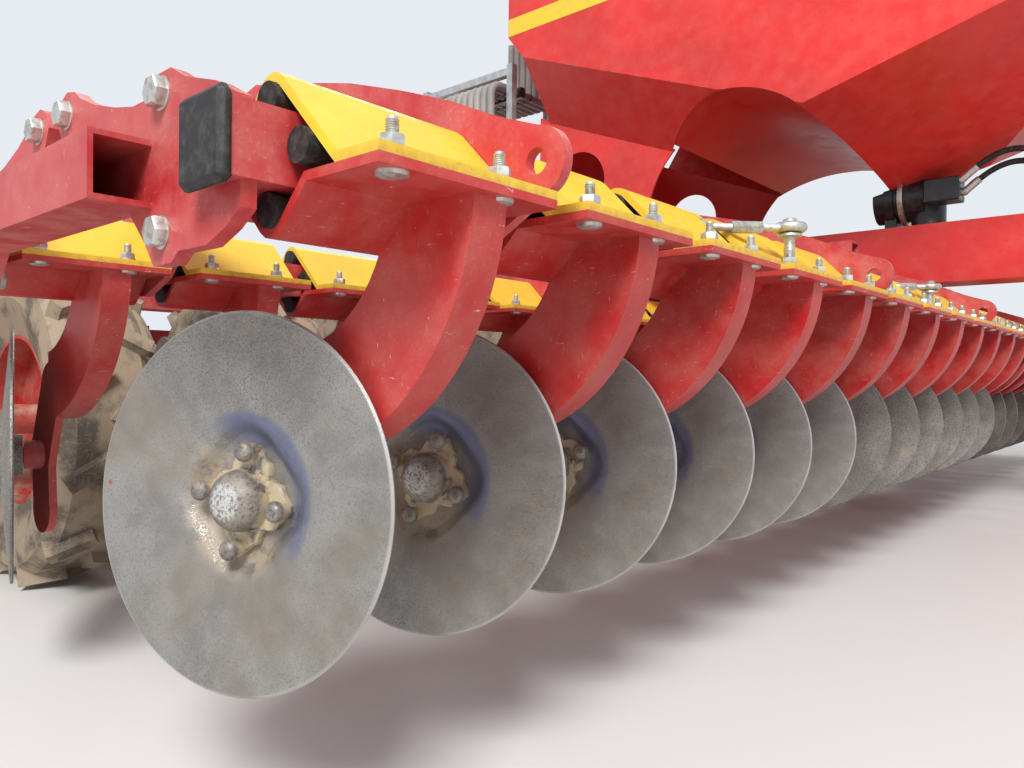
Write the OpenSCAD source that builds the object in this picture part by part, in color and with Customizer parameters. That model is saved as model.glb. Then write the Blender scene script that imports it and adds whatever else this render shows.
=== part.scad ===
// Trailed folding seed drill with two rows of rubber-sprung discs ahead of a wheel packer.
// X points forwards to the tow eye, Y to the left, Z up. The floor is Z = 0.

/* [Sections] */
// Distance between neighbouring tillage discs in one row
disc_pitch = 250; // [240:2:260]
// Distance of each fold line from the machine's centre line
fold_y = 1000; // [990:5:1010]
// Gap between the beam end of a section and its fold line
fold_gap = 12; // [8:1:20]
// Fore-and-aft place of the front disc row's bar
front_bar_x = 330; // [300:5:360]
// Distance from the front disc row's bar to the rear one
row_gap = 750; // [720:5:800]
// Height of the disc bars' centre line
bar_z = 683; // [670:1:700]

/* [Disc suspension] */
// Width across the flats of the square disc bar
bar_w = 60; // [50:1:64]
// Diameter of the rubber cords
cord_d = 29.4; // [26:0.2:31]
// Clearance round each rubber cord
cord_gap = 0.3; // [0.2:0.1:0.6]
// Thickness of the bent clamp plates
clamp_t = 8; // [6:0.5:10]
// Reach of the clamp flanges before and behind the bar
flange_reach = 138; // [130:1:150]
// Length of a clamp on its outboard side, from the middle of its bolts
clamp_out = 85; // [75:1:95]
// Length of a clamp on its inboard side
clamp_in = 118; // [110:1:122]
// Drop of the parting face below the bar's centre
parting_drop = 20; // [14:1:22]
// Thickness of the arm's web
web_t = 12; // [8:1:16]
// Outboard face of the arm's web from the middle of the clamp bolts
web_y = 22; // [18:1:26]
// Width of the arm's front flange
arm_flange_w = 40; // [30:1:50]
// Radius of the arm's front edge
arm_r = 243; // [235:1:250]
// Depth of the arm at its top
arm_depth = 100; // [85:1:110]

/* [Tillage discs] */
// Diameter of a front row disc, worn
front_disc_d = 380; // [360:5:400]
// Diameter of a rear row disc
rear_disc_d = 415; // [390:5:420]
// Thickness of a disc
disc_t = 5; // [4:0.5:7]
// Angle between a disc and the direction of travel
disc_angle = 16; // [12:1:18]
// Lean of a disc's outboard face upwards
disc_lean = 3; // [0:0.5:4]
// Depth of the disc's cone from rim to centre
disc_cone = 12; // [6:1:16]
// Depth of the recess round the hub
disc_recess = 15; // [10:1:18]
// Distance of the disc's centre behind the bar
hub_back = 143; // [135:1:150]
// Distance of the disc's centre below the bar
hub_drop = 305; // [298:1:312]
// Distance of the disc's rim plane outboard of the clamp bolts
hub_out = 39; // [36:1:44]
// Distance of a rear disc's rim plane outboard of its clamp bolts
rear_hub_out = 13; // [10:1:18]
// Distance of a rear disc's centre below the bar
rear_hub_drop = 318; // [312:1:324]
// Radius of the stub axle
stub_r = 14; // [12:0.5:16]

/* [Packer] */
// Diameter of a packer tyre
tyre_d = 780; // [760:5:800]
// Width of a packer tyre
tyre_w = 200; // [190:2:210]
// Diameter of the rims
rim_d = 400; // [380:5:420]
// Place of the front packer axle
packer_x = -1200; // [-1220:5:-1190]
// Distance between the packer axles
axle_gap = 500; // [480:5:520]
// Radius of a packer axle
axle_r = 35; // [30:1:40]

/* [Frame] */
// Width of the square main beams
beam_w = 120; // [100:5:130]
// Height of the main beams' centre line
beam_z = 810; // [805:1:820]
// Wall of the frame tubes
tube_t = 8; // [5:1:10]
// Place of the rear main beam
rear_beam_x = -2200; // [-2240:5:-2180]
// Height of the fold axis
fold_z = 915; // [912:1:925]
// Radius of the fold pins
pin_r = 20; // [16:1:24]
// Running clearance of every pin and axle, on the radius
run_gap = 0.06; // [0.04:0.01:0.09]
// Width of the square side member
side_w = 60; // [50:2:64]
// Front end of the side member
side_front_x = 200; // [180:5:220]
// Thickness of the ear plates
ear_t = 12; // [8:1:15]

/* [Coulters] */
// Distance between neighbouring seed rows
seed_pitch = 166.6; // [160:0.2:167]
// Width of the square coulter bars
coulter_bar_w = 80; // [70:2:90]
// Place of the front coulter bar
coulter_x = -2380; // [-2400:5:-2360]
// Distance between the coulter bars
coulter_row_gap = 420; // [400:5:440]
// Height of the coulter bars
coulter_z = 640; // [620:5:660]
// Diameter of a seed disc
seed_disc_d = 360; // [330:5:380]
// Diameter of a press wheel
press_d = 300; // [280:5:320]
// Width of a press wheel
press_w = 50; // [40:1:60]
// Ground clearance of the raised seed discs
seed_clear = 150; // [120:5:180]

/* [Hopper] */
// Half the width of the hopper
hopper_half = 720; // [700:5:740]
// Rear wall of the hopper
hopper_rear_x = -1420; // [-1440:5:-1400]
// Front wall of the hopper
hopper_front_x = 950; // [900:5:1000]
// Top of the hopper's walls
hopper_top_z = 2700; // [2600:10:2800]
// Wall of the hopper
hopper_t = 6; // [4:1:10]
// Half the distance between the skirts below the hopper
skirt_y = 520; // [510:5:530]

/* [Drawbar] */
// Place of the tow eye's front edge
hitch_x = 4020; // [4000:5:4040]
// Height of the tow eye
hitch_z = 480; // [450:5:520]
// Bore radius of the tow eye
eye_r = 25; // [20:0.5:30]
// Place of the parking jack
jack_x = 3050; // [3000:10:3100]

/* [Hidden] */
$fn = 48;
WING_PIECES = [
    "frame", "clamps", "arms", "cords", "discs", "coulters", "press_wheels",
    "front_rims", "front_tyres", "rear_rims", "rear_tyres", "barrel", "rod",
    "disc_1", "disc_2", "disc_3", "disc_4", "disc_5", "disc_6",
];

// Disc rows: each section has four discs a half width, and a wing has eight
wing_discs = 8;
centre_discs_half = 4;
spinning_discs = 6;
rear_bar_x = front_bar_x - row_gap;
wing_units = [for (i = [0:wing_discs - 1]) -(fold_y + disc_pitch * (i + 0.5))];
centre_units = [for (i = [0:centre_discs_half - 1]) -disc_pitch * (i + 0.5)];
wing_end_y = fold_y + disc_pitch * wing_discs;
wing_section = -(fold_y + wing_end_y) / 2;

// Diamond housing round the square bar
housing_in = (bar_w / 2 + cord_d / 2 + cord_gap) / sqrt(2) + cord_d / 2 + cord_gap;
corner_in = housing_in * sqrt(2);
corner_out = (housing_in + clamp_t) * sqrt(2);
cord_reach = bar_w / 2 + cord_gap + cord_d / 2;
cord_proud = 5;
cord_hole_r = cord_d / 2 + cord_gap;
arc_steps = 4;

// Arm: its front edge is an arc about this point, measured from the bar
arm_centre = [-115, -15];
arm_end_r = 44;
tail = [8, -90];
tail_r = 40;
hub_r = 34;
hub_back_w = -disc_cone - disc_recess - 11;
rear_hub_w = -12;
rear_stub_w = -(web_y + web_t + 24);
rear_bore_w = disc_cone + disc_recess - 5;
cap_front_w = 14;
cap_r = 30;

// Frame
main_x = front_bar_x - row_gap / 2;
beam_top = beam_z + beam_w / 2;
beam_end_y = fold_y + fold_gap;
side_y = wing_end_y + 24;
side_z = bar_z - 2;
rail_w = 80;
rail_h = 100;
rail_z = beam_top - 20;
centre_rail_h = 110;
wing_rail_y = fold_y + 200;
wing_ears = [2750, 1750];
hinge_x = [main_x, rear_beam_x];
lug_t = 20;
lug_r = 40;
lug_gap = 1;
bearing_t = 30;
bearing_r = 65;
tyre_r = tyre_d / 2;
lug_h = 24;
lugs_a_side = 12;
lug_skew = 32;
tread_lug_w = 32;
axle_z = tyre_r;
rear_axle_x = packer_x - axle_gap;
drop_plate_t = 12;

// Coulters
seed_rows = 12;
carrier_rows = 5;
harrow_arm_rows = 2;
seed_hub_back = 330;
seed_hub_z = seed_disc_d / 2 + seed_clear;
press_back = 345;
press_z = press_d / 2 + seed_clear + 20;
harrow_x = -3760;
harrow_z = 470;
harrow_bar = 50;
tine_r = 6;
tine_pitch = 83.3;
tine_tip = [-4014, 60];

// Edge of the lobed end bracket, from its rear top, as X and height over the bar
end_bracket_edge = [
    [-32, 92], [-24, 110], [-4, 118], [16, 114], [34, 103], [72, 88], [120, 75], [160, 67], [183, 67],
    [205, 84], [236, 84], [262, 70], [314, 54], [345, 38], [354, 0], [352, -51], [330, -64],
    [300, -75], [252, -75], [238, -84], [204, -84], [184, -60], [150, -28], [120, -20], [120, 30], [72, 52],
    [10, 66], [-20, 72],
];

// Fold cylinder, in the plane across the machine
cyl_x = rear_beam_x - 130;
cyl_base = [-300, 1010];
cyl_eye = [-1450, 985];
barrel_r = 45;
rod_r = 25;
cyl_pin_r = 20;
cyl_eye_r = 45;
cyl_eye_w = 60;
cyl_len = norm(cyl_eye - cyl_base);
cyl_angle = atan2(cyl_eye[1] - cyl_base[1], cyl_eye[0] - cyl_base[0]);
barrel_len = 600;
barrel_foot = 52;
barrel_wall = 10;
piston_len = 50;

// Hopper: side view of the outer wall from the rear top, and its lower edges
hopper_edge = [
    [hopper_rear_x, hopper_top_z],
    [hopper_rear_x, 2010],
    [hopper_rear_x + 90, 1900],
    [-260, 1490],
    [90, 1480],
    [hopper_front_x, 1720],
    [hopper_front_x, hopper_top_z],
];
keel_z = 1240;
keel_x = 120;
rear_edge_slope = 0.387;
skirt_t = 8;
skirt_drop = 240;
arch = [-400, 1120, 420];
small_arch = [-1170, 1360, 140];
skirt_rear_x = -1390;
lid_t = 40;
platform_t = 40;
platform_x = [-2150, -1500];
platform_half = 600;
rail_bar = 34;
hand_rail_h = 950;
riser_h = 1265;
lid_over = 15;
lid_gap = 0.3;
lid_hinge_r = 16;
lid_pin_r = 8;
lid_tab_t = 14;
lid_axis = [hopper_half + 40, hopper_top_z + lid_t / 2];
lid_hinge_x = [-1200, -235, 700];

// Drawbar
drawbar_w = 180;
drawbar_h = 222;
drawbar_z = beam_top + drawbar_h / 2;
drawbar_rear_x = -600;
drawbar_knee_x = 1150;
drawbar_front_x = 3740;
eye_out_r = 60;
eye_t = 45;
eye_x = hitch_x - eye_out_r;
jack_y = -170;
jack_tube = 90;
jack_wall = 9;
jack_gap = 0.5;
jack_low = 380;
jack_top = 1000;
jack_foot_r = 110;
jack_leg_h = 690;

// General forms
module on_side(side) {
    if (side < 0) {
        children();
    }
    else {
        mirror([0, 1, 0]) children();
    }
}

// A plate in the fore-and-aft plane, y_low to y_high, from an X-Z outline
module side_plate(y_low, y_high) {
    translate([0, y_high, 0]) rotate([90, 0, 0]) linear_extrude(y_high - y_low) children();
}

// A plate across the machine, x_low to x_high, from a Y-Z outline
module cross_plate(x_low, x_high) {
    translate([x_low, 0, 0]) rotate([90, 0, 90]) linear_extrude(x_high - x_low) children();
}

// A flat bar with round ends, a touch narrower between them
module bar2d(a, b, r) {
    waist = 0.96 * r;
    translate(a) circle(r);
    translate(b) circle(r);
    translate(a) rotate(atan2(b[1] - a[1], b[0] - a[0]))
        translate([0, -waist]) square([norm(b - a), 2 * waist]);
}

module tube2d(w, h, t) {
    difference() {
        translate([-w / 2, -h / 2]) square([w, h]);
        translate([t - w / 2, t - h / 2]) square([w - 2 * t, h - 2 * t]);
    }
}

module tube_y(x, y_low, y_high, z, w, t) {
    translate([x, 0, z]) side_plate(y_low, y_high) tube2d(w, w, t);
}

module tube_x(x_low, x_high, y, z, w, h, t) {
    translate([0, y, z]) cross_plate(x_low, x_high) tube2d(w, h, t);
}

module box_x(x_low, x_high, y, z, w, h) {
    translate([x_low, y - w / 2, z - h / 2]) cube([x_high - x_low, w, h]);
}

module box_y(x, y_low, y_high, z, w) {
    translate([x - w / 2, y_low, z - w / 2]) cube([w, y_high - y_low, w]);
}

module pin_y(x, y_low, y_high, z, r) {
    translate([x, y_low, z]) rotate([-90, 0, 0]) cylinder(r = r, h = y_high - y_low);
}

module pin_x(x_low, x_high, y, z, r) {
    translate([x_low, y, z]) rotate([0, 90, 0]) cylinder(r = r, h = x_high - x_low);
}

// Disc unit: clamp, arm, cords and disc, about the bar's centre at the clamp bolts.
// It is drawn for the right half's front row, with outboard at -Y.
function arc_points(centre, r, from, to) = [
    for (i = [0:arc_steps], a = from + (to - from) * i / arc_steps) centre + r * [cos(a), sin(a)]
];

// The plates are bent round the cords above and below the bar
module clamp_top() {
    s = parting_drop;
    t = clamp_t;
    side_plate(-clamp_out, clamp_in) polygon(concat(
        [[flange_reach, -s], [flange_reach, t - s], [corner_out + s - t, t - s]],
        arc_points([0, cord_reach], cord_hole_r + t, 45, 135),
        [[-(corner_out + s - t), t - s], [-flange_reach, t - s], [-flange_reach, -s]],
        [[-(corner_in + s), -s]],
        arc_points([0, cord_reach], cord_hole_r, 135, 45),
        [[corner_in + s, -s]]
    ));
}

module clamp_bottom() {
    s = parting_drop;
    side_plate(-clamp_out, clamp_in) polygon(concat(
        [[flange_reach, -s], [flange_reach, -s - clamp_t]],
        lower_ridge(),
        [[-flange_reach, -s - clamp_t], [-flange_reach, -s], [-(corner_in - s), -s]],
        arc_points([0, -cord_reach], cord_hole_r, -135, -45),
        [[corner_in - s, -s]]
    ));
}

function lower_ridge() = concat(
    [[corner_out - parting_drop - clamp_t, -parting_drop - clamp_t]],
    arc_points([0, -cord_reach], cord_hole_r + clamp_t, -45, -135),
    [[-(corner_out - parting_drop - clamp_t), -parting_drop - clamp_t]]
);

// The arm bends down and back from the lower plate to the stub axle. In the rear row its
// tail goes on below the axle.
module arm_web2d(row) {
    inner_r = arm_r - arm_depth;
    difference() {
        union() {
            intersection() {
                translate(arm_centre) difference() {
                    circle(arm_r, $fn = 96);
                    translate([-8, 8]) circle(inner_r, $fn = 96);
                }
                polygon([
                    arm_centre + [20, 60], [arm_centre[0] + 20, -400], [200, -400], [200, 100],
                ]);
            }
            bar2d([arm_centre[0] + 30, arm_centre[1] - arm_r + arm_end_r + 8], arm_end(row), arm_end_r);
            if (row == 1) {
                bar2d(arm_end(row), arm_end(row) + tail, tail_r);
            }
        }
        housing_space2d();
    }
}

// What lies above the lower clamp plate
module housing_space2d() {
    s = parting_drop + clamp_t;
    polygon(concat([[300, -s]], lower_ridge(), [[-300, -s], [-300, 200], [300, 200]]));
}

// Where the stub axle leaves the web
function arm_end(row) = row == 0
    ? [
        -hub_back - (hub_out + web_y) * tan(disc_angle),
        -hub_drop - (hub_out + web_y) * tan(disc_lean) / cos(disc_angle),
    ]
    : [-hub_back + (rear_hub_out + web_y) * tan(disc_angle), -rear_hub_drop];

module arm(row) {
    side_plate(web_y, web_y + web_t) arm_web2d(row);
    side_plate(web_y, web_y + arm_flange_w) difference() {
        intersection() {
            translate(arm_centre) difference() {
                circle(arm_r, $fn = 96);
                circle(arm_r - 10, $fn = 96);
            }
            polygon([
                [arm_centre[0] + 30, -120], [arm_centre[0] + 30, -400], [200, -400], [200, 100], [60, 100],
            ]);
        }
        housing_space2d();
    }
    difference() {
        at_hub(row) {
            if (row == 0) {
                translate([0, 0, hub_back_w - 45]) cylinder(r = 24, h = 45 - 1.5);
                translate([0, 0, hub_back_w - 45]) cylinder(r = stub_r, h = 45 + disc_recess + 10);
            }
            else {
                translate([0, 0, rear_stub_w]) cylinder(r = 24, h = rear_hub_w - rear_stub_w - 1.5);
                translate([0, 0, rear_stub_w]) cylinder(r = stub_r, h = rear_bore_w - rear_stub_w - 2);
            }
        }
        translate([-hub_back - 100, web_y + web_t, -rear_hub_drop - 100]) cube([200, 60, 200]);
    }
}

// The rear row is turned the other way
module at_hub(row) {
    if (row == 0) {
        translate([-hub_back, -hub_out, -hub_drop]) rotate([90 - disc_lean, 0, disc_angle]) children();
    }
    else {
        translate([-hub_back, -rear_hub_out, -rear_hub_drop]) rotate([90, 0, -disc_angle]) children();
    }
}

// A dished disc with its hub and domed cap, turned about its own axis
module front_disc() {
    r = front_disc_d / 2;
    back = -disc_cone - disc_recess;
    at_hub(0) rotate_extrude($fn = 72) polygon([
        [0, cap_front_w], [cap_r * 0.6, cap_front_w - 3], [cap_r, cap_front_w - 14], [cap_r, back + 8],
        [48, back + 8], [48, back], [58, back], [74, -disc_cone],
        [r - 2, 0], [r, -2], [r - 1, -disc_t], [74, -disc_cone - disc_t],
        [60, back - disc_t], [hub_r, back - disc_t], [hub_r, hub_back_w], [stub_r + run_gap, hub_back_w],
        [stub_r + run_gap, hub_back_w + 45 + disc_recess - 32], [0, hub_back_w + 45 + disc_recess - 32],
    ]);
}

// A rear disc bulges outboard and has its hub on the hollow side
module rear_disc() {
    r = rear_disc_d / 2;
    top = disc_cone + disc_recess;
    at_hub(1) rotate_extrude($fn = 72) polygon([
        [0, rear_bore_w], [stub_r + run_gap, rear_bore_w], [stub_r + run_gap, rear_hub_w],
        [hub_r, rear_hub_w], [hub_r, top], [58, top], [74, disc_cone],
        [r - 2, 0], [r, 2], [r - 1, disc_t], [74, disc_cone + disc_t], [60, top + disc_t],
        [cap_r, top + disc_t], [cap_r * 0.6, top + disc_t + 9], [0, top + disc_t + 12],
    ]);
}

module cords() {
    for (corner = [0:90:270]) {
        translate([cord_reach * cos(corner), 0, cord_reach * sin(corner)])
            pin_y(0, -clamp_out - cord_proud, clamp_in, 0, cord_d / 2);
    }
}

// Rows of units
module row(x, units) {
    for (y = units) {
        translate([x, y, bar_z]) children();
    }
}

module both_rows(units) {
    row(front_bar_x, units) children();
    row(rear_bar_x, units) children();
}

module arm_rows(units) {
    row(front_bar_x, units) arm(0);
    row(rear_bar_x, units) arm(1);
}

module row_discs(front_units, rear_units) {
    row(front_bar_x, front_units) front_disc();
    row(rear_bar_x, rear_units) rear_disc();
}

module both_halves() {
    children();
    mirror([0, 1, 0]) children();
}

// Arched ear plate over the main beam to a disc bar, drawn for the front bar
module ear(y) {
    nose = [front_bar_x + 112, bar_z + 20];
    nose_r = 33;
    nose_in = 32;
    hole_r = 12.5;
    side_plate(y - ear_t / 2, y + ear_t / 2) difference() {
        union() {
            translate(nose) circle(nose_r);
            polygon([
                nose + nose_in * [cos(-70), sin(-70)], nose + nose_in * [cos(62), sin(62)],
                [front_bar_x + 66, bar_z + 70], [front_bar_x - 5, bar_z + 102],
                [front_bar_x - 81, bar_z + 130], [front_bar_x - 170, bar_z + 159],
                [front_bar_x - 272, bar_z + 184], [main_x - 2, beam_top + 19], [main_x - 2, beam_top - 4],
                [main_x + beam_w / 2 - 4, beam_top - 4],
                [main_x + beam_w / 2 - 4, beam_z - 40], [front_bar_x - 210, bar_z + 60],
                [front_bar_x - 110, bar_z - 30], [front_bar_x - 40, bar_z - 55],
                [front_bar_x + 50, bar_z - 50],
            ]);
        }
        translate(nose) circle(hole_r);
    }
}

module ears(y) {
    ear(y);
    translate([2 * main_x, 0, 0]) mirror([1, 0, 0]) ear(y);
}

// Fold hinge: the centre section has two lugs and the pin, the wing one lug between them
module fold_lug2d(reach) {
    bar2d([-fold_y, fold_z], [-fold_y + reach, beam_z + 20], lug_r);
}

module centre_hinge(x) {
    reach = 110;
    difference() {
        for (side = [-1, 1]) {
            centre = x + side * (lug_t + lug_gap);
            cross_plate(centre - lug_t / 2, centre + lug_t / 2) fold_lug2d(reach);
        }
        pin_x(x - 2 * lug_t, x + 2 * lug_t, -fold_y, fold_z, pin_r);
    }
    pin_x(x - 1.5 * lug_t - lug_gap - 4, x + 1.5 * lug_t + lug_gap + 4, -fold_y, fold_z, pin_r);
}

module wing_hinge(x) {
    difference() {
        cross_plate(x - lug_t / 2, x + lug_t / 2) fold_lug2d(-110);
        pin_x(x - lug_t, x + lug_t, -fold_y, fold_z, pin_r + run_gap);
    }
}

// A plate that hangs from a rail and holds an axle's bearing
module bearing_drop(x, y, top_z) {
    difference() {
        union() {
            side_plate(y - drop_plate_t / 2, y + drop_plate_t / 2) polygon([
                [x - 45, axle_z], [x - 70, top_z], [x + 70, top_z], [x + 45, axle_z],
            ]);
            pin_y(x, y - bearing_t / 2, y + bearing_t / 2, axle_z, bearing_r);
        }
        pin_y(x, y - bearing_t, y + bearing_t, axle_z, axle_r + run_gap);
    }
}

// Packer wheels alternate between the two axles
function wing_wheels(row) = [
    for (i = [0:wing_discs / 2 - 1]) -(fold_y + disc_pitch * (2 * i + (row == 0 ? 0.5 : 1.5)))
];
centre_wheels = [
    [-2.5 * disc_pitch, -0.5 * disc_pitch, 0.5 * disc_pitch, 2.5 * disc_pitch],
    [-3.5 * disc_pitch, -1.5 * disc_pitch, 1.5 * disc_pitch, 3.5 * disc_pitch],
];
wing_bearings = [
    [-side_y, -(fold_y + 1.5 * disc_pitch)],
    [-side_y, -wing_rail_y],
];
centre_bearings = [-1.5 * disc_pitch, -2.5 * disc_pitch];

module tyres(x, wheels) {
    r = tyre_r - lug_h;
    w = tyre_w / 2;
    for (y = wheels) {
        translate([x, y, axle_z]) rotate([90, 0, 0]) {
            rotate_extrude($fn = 60) polygon([
                [rim_d / 2 + 0.3, -w + 25], [r - 80, -w], [r - 24, -w + 3], [r, -w + 30],
                [r, w - 30], [r - 24, w - 3], [r - 80, w], [rim_d / 2 + 0.3, w - 25],
            ]);
            for (i = [0:lugs_a_side - 1], side = [-1, 1]) {
                rotate([0, 0, (i + (side + 1) / 4) * 360 / lugs_a_side])
                    translate([tyre_r - lug_h, 0, side * (w / 2 - 4)]) rotate([side * lug_skew, 0, 0])
                    translate([-lug_h, -tread_lug_w / 2, -w / 2]) cube([2 * lug_h, tread_lug_w, w]);
            }
        }
    }
}

module rims(x, wheels, y_low, y_high) {
    w = tyre_w / 2 - 25;
    rim_t = 8;
    for (y = wheels) {
        translate([x, y, axle_z]) rotate([90, 0, 0]) rotate_extrude($fn = 60) polygon([
            [axle_r - 2, -30], [axle_r + 20, -30], [axle_r + 20, 0], [rim_d / 2 - rim_t, 0],
            [rim_d / 2 - rim_t, -w], [rim_d / 2, -w], [rim_d / 2, w], [rim_d / 2 - rim_t, w],
            [rim_d / 2 - rim_t, rim_t], [axle_r + 20, rim_t], [axle_r + 20, 30], [axle_r - 2, 30],
        ]);
    }
    pin_y(x, y_low, y_high, axle_z, axle_r);
}

// Seed coulters: an arm on a square bar, a seed disc and a press wheel behind it
function seed_y(section, row) = [
    for (i = [0:seed_rows / 2 - 1]) section + seed_pitch * (2 * i + row + 0.5 - seed_rows / 2)
];

module coulter_arm() {
    arm_w = 36;
    side_plate(-arm_w / 2, arm_w / 2) difference() {
        union() {
            translate([-70, -55]) square([125, 110]);
            bar2d([-50, -30], [-seed_hub_back, seed_hub_z - coulter_z], 30);
        }
        translate([-coulter_bar_w / 2, -coulter_bar_w / 2]) square(coulter_bar_w);
    }
    side_plate(-6, 6) bar2d(
        [-seed_hub_back, seed_hub_z - coulter_z + 10],
        [-seed_hub_back - press_back, press_z - coulter_z], 16);
    translate([-seed_hub_back, 0, seed_hub_z - coulter_z])
        pin_y(0, -arm_w / 2 - 22, arm_w / 2, 0, 12);
    translate([-seed_hub_back - press_back, 0, press_z - coulter_z])
        pin_y(0, -press_w - 12, 6, 0, 10);
}

module seed_disc() {
    translate([-seed_hub_back, 0, seed_hub_z - coulter_z]) rotate([90, 0, 0])
        rotate_extrude($fn = 60) polygon([
            [12.3, 19], [35, 19], [35, 24], [seed_disc_d / 2, 26], [seed_disc_d / 2, 29], [35, 34],
            [12.3, 34],
        ]);
}

module press_wheel() {
    r = press_d / 2;
    translate([-seed_hub_back - press_back, -7, press_z - coulter_z]) rotate([90, 0, 0])
        rotate_extrude($fn = 48) polygon([
            [10.3, 2], [r - 30, 0], [r - 10, 0], [r, press_w * 0.3], [r, press_w * 0.7],
            [r - 10, press_w], [r - 30, press_w], [10.3, press_w - 2],
        ]);
}

module coulter_places(section) {
    for (row = [0, 1], y = seed_y(section, row)) {
        translate([coulter_x - row * coulter_row_gap, y, coulter_z]) children();
    }
}

module coulter_section(section, y_low, y_high) {
    coulter_places(section) coulter_arm();
    harrow(section, y_low, y_high);
}

module coulter_bars(y_low, y_high) {
    for (row = [0, 1]) {
        box_y(coulter_x - row * coulter_row_gap, y_low, y_high, coulter_z, coulter_bar_w);
    }
}

// Harrow behind the coulters, held by two arms from the rear coulter bar
module harrow(section, y_low, y_high) {
    tube_y(harrow_x, y_low, y_high, harrow_z, harrow_bar, 5);
    rear_x = coulter_x - coulter_row_gap;
    for (side = [-1, 1]) {
        y = section + side * harrow_arm_rows * seed_pitch;
        side_plate(y - 8, y + 8) difference() {
            bar2d([rear_x, coulter_z], [harrow_x, harrow_z], 30);
            translate([rear_x, coulter_z]) square([coulter_bar_w, coulter_bar_w + 20], center = true);
        }
    }
    count = floor((y_high - y_low - 60) / (2 * tine_pitch));
    middle = (y_low + y_high) / 2;
    for (i = [0:count - 1]) {
        y = middle + 2 * tine_pitch * (i - (count - 1) / 2);
        tine(y);
    }
}

module tine(y) {
    top = [harrow_x, harrow_z - harrow_bar / 2];
    knee = [harrow_x - 130, harrow_z - 190];
    side_plate(y - tine_r, y + tine_r) {
        bar2d(top, knee, tine_r);
        bar2d(knee, tine_tip, tine_r);
    }
}

// Rear carrier between the rear beam and the coulter bars
module coulter_carrier(y) {
    rear_x = coulter_x - coulter_row_gap;
    side_plate(y - 10, y + 10) polygon([
        [rear_beam_x + 60, beam_top], [rear_beam_x + 60, beam_z - 60], [coulter_x + 60, coulter_z - 60],
        [rear_x - 60, coulter_z - 60], [rear_x - 60, coulter_z + 60],
        [coulter_x - 60, coulter_z + 100], [rear_beam_x - 80, beam_top],
    ]);
}

// Wing frame, drawn for the right side
module wing_frame() {
    inner_y = -beam_end_y;
    outer_y = -side_y + side_w / 2 + drop_plate_t;
    for (x = hinge_x) {
        wing_hinge(x);
    }
    tube_y(main_x, -wing_ears[0] - 20, inner_y, beam_z, beam_w, tube_t);
    tube_y(rear_beam_x, outer_y, inner_y, beam_z, beam_w, tube_t);
    for (x = [front_bar_x, rear_bar_x]) {
        box_y(x, -wing_end_y - 16, inner_y, bar_z, bar_w);
    }
    tube_x(rear_beam_x - 60, side_front_x, -side_y, side_z, side_w, side_w, 5);
    box_x(rear_beam_x, main_x, -wing_rail_y, rail_z, rail_w, rail_h);
    for (y = wing_ears) {
        ears(-y);
    }
    end_bracket();
    side_plate(-side_y + side_w / 2, outer_y) translate([rear_beam_x, 0]) polygon([
        [-75, beam_top], [75, beam_top], [95, side_z - 40], [-95, side_z - 40],
    ]);
    for (row = [0, 1], y = wing_bearings[row]) {
        x = row == 0 ? packer_x : rear_axle_x;
        bearing_drop(x, y, y == -side_y ? side_z - side_w / 2 + 4 : rail_z);
    }
    box_x(packer_x - 70, packer_x + 70, wing_bearings[0][1], rail_z, 60, 60);
    box_y(packer_x, wing_bearings[0][1], -wing_rail_y, rail_z, 60);
    for (side = [-1, 1]) {
        coulter_carrier(wing_section + side * carrier_rows * seed_pitch);
    }
    coulter_bars(-wing_end_y, inner_y);
    wing_cylinder_lug();
}

// Lobed bracket that ties the disc bars' ends to the side member
module end_bracket() {
    y_low = -side_y + side_w / 2 - 6;
    for (mirrored = [0, 1]) {
        translate([mirrored * 2 * main_x, 0, 0]) mirror([mirrored, 0, 0]) side_plate(y_low, y_low + 14)
            translate([0, bar_z]) polygon(end_bracket_edge);
    }
}

module wing_cylinder_lug() {
    y = cyl_eye[0];
    z = cyl_eye[1];
    cross_plate(cyl_x + cyl_eye_w / 2 + 1, cyl_x + cyl_eye_w / 2 + 16) polygon([
        [y - 80, beam_top - 30], [y - 40, z + 35], [y + 40, z + 35], [y + 80, beam_top - 30],
    ]);
    box_x(cyl_x + cyl_eye_w / 2 + 1, rear_beam_x, y, beam_z + 20, 80, 60);
}

// Fold cylinder, drawn along +Z from its base pin
module at_cylinder() {
    translate([cyl_x, cyl_base[0], cyl_base[1]]) rotate([cyl_angle - 90, 0, 0]) children();
}

module barrel() {
    at_cylinder() difference() {
        union() {
            rotate([0, 90, 0]) cylinder(r = cyl_eye_r, h = cyl_eye_w, center = true);
            translate([0, 0, barrel_foot]) cylinder(r = barrel_r, h = barrel_len - barrel_foot);
            translate([-cyl_eye_w / 2 + 5, -barrel_r + 5, cyl_pin_r + 10])
                cube([cyl_eye_w - 10, 2 * barrel_r - 10, barrel_foot - cyl_pin_r - 8]);
        }
        rotate([0, 90, 0]) cylinder(r = cyl_pin_r + run_gap, h = cyl_eye_w + 2, center = true);
        translate([0, 0, barrel_foot + 12])
            cylinder(r = barrel_r - barrel_wall, h = barrel_len - barrel_foot - 32);
        translate([0, 0, barrel_foot + 12]) cylinder(r = rod_r + run_gap, h = barrel_len);
    }
}

module rod() {
    at_cylinder() difference() {
        union() {
            translate([0, 0, barrel_len - 100]) {
                cylinder(r = barrel_r - barrel_wall - run_gap, h = piston_len);
                cylinder(r = rod_r, h = cyl_len - barrel_len + 70);
            }
            translate([0, 0, cyl_len]) rotate([0, 90, 0])
                cylinder(r = cyl_eye_r, h = cyl_eye_w, center = true);
        }
        translate([0, 0, cyl_len]) rotate([0, 90, 0])
            cylinder(r = cyl_pin_r, h = cyl_eye_w + 2, center = true);
    }
}

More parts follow.
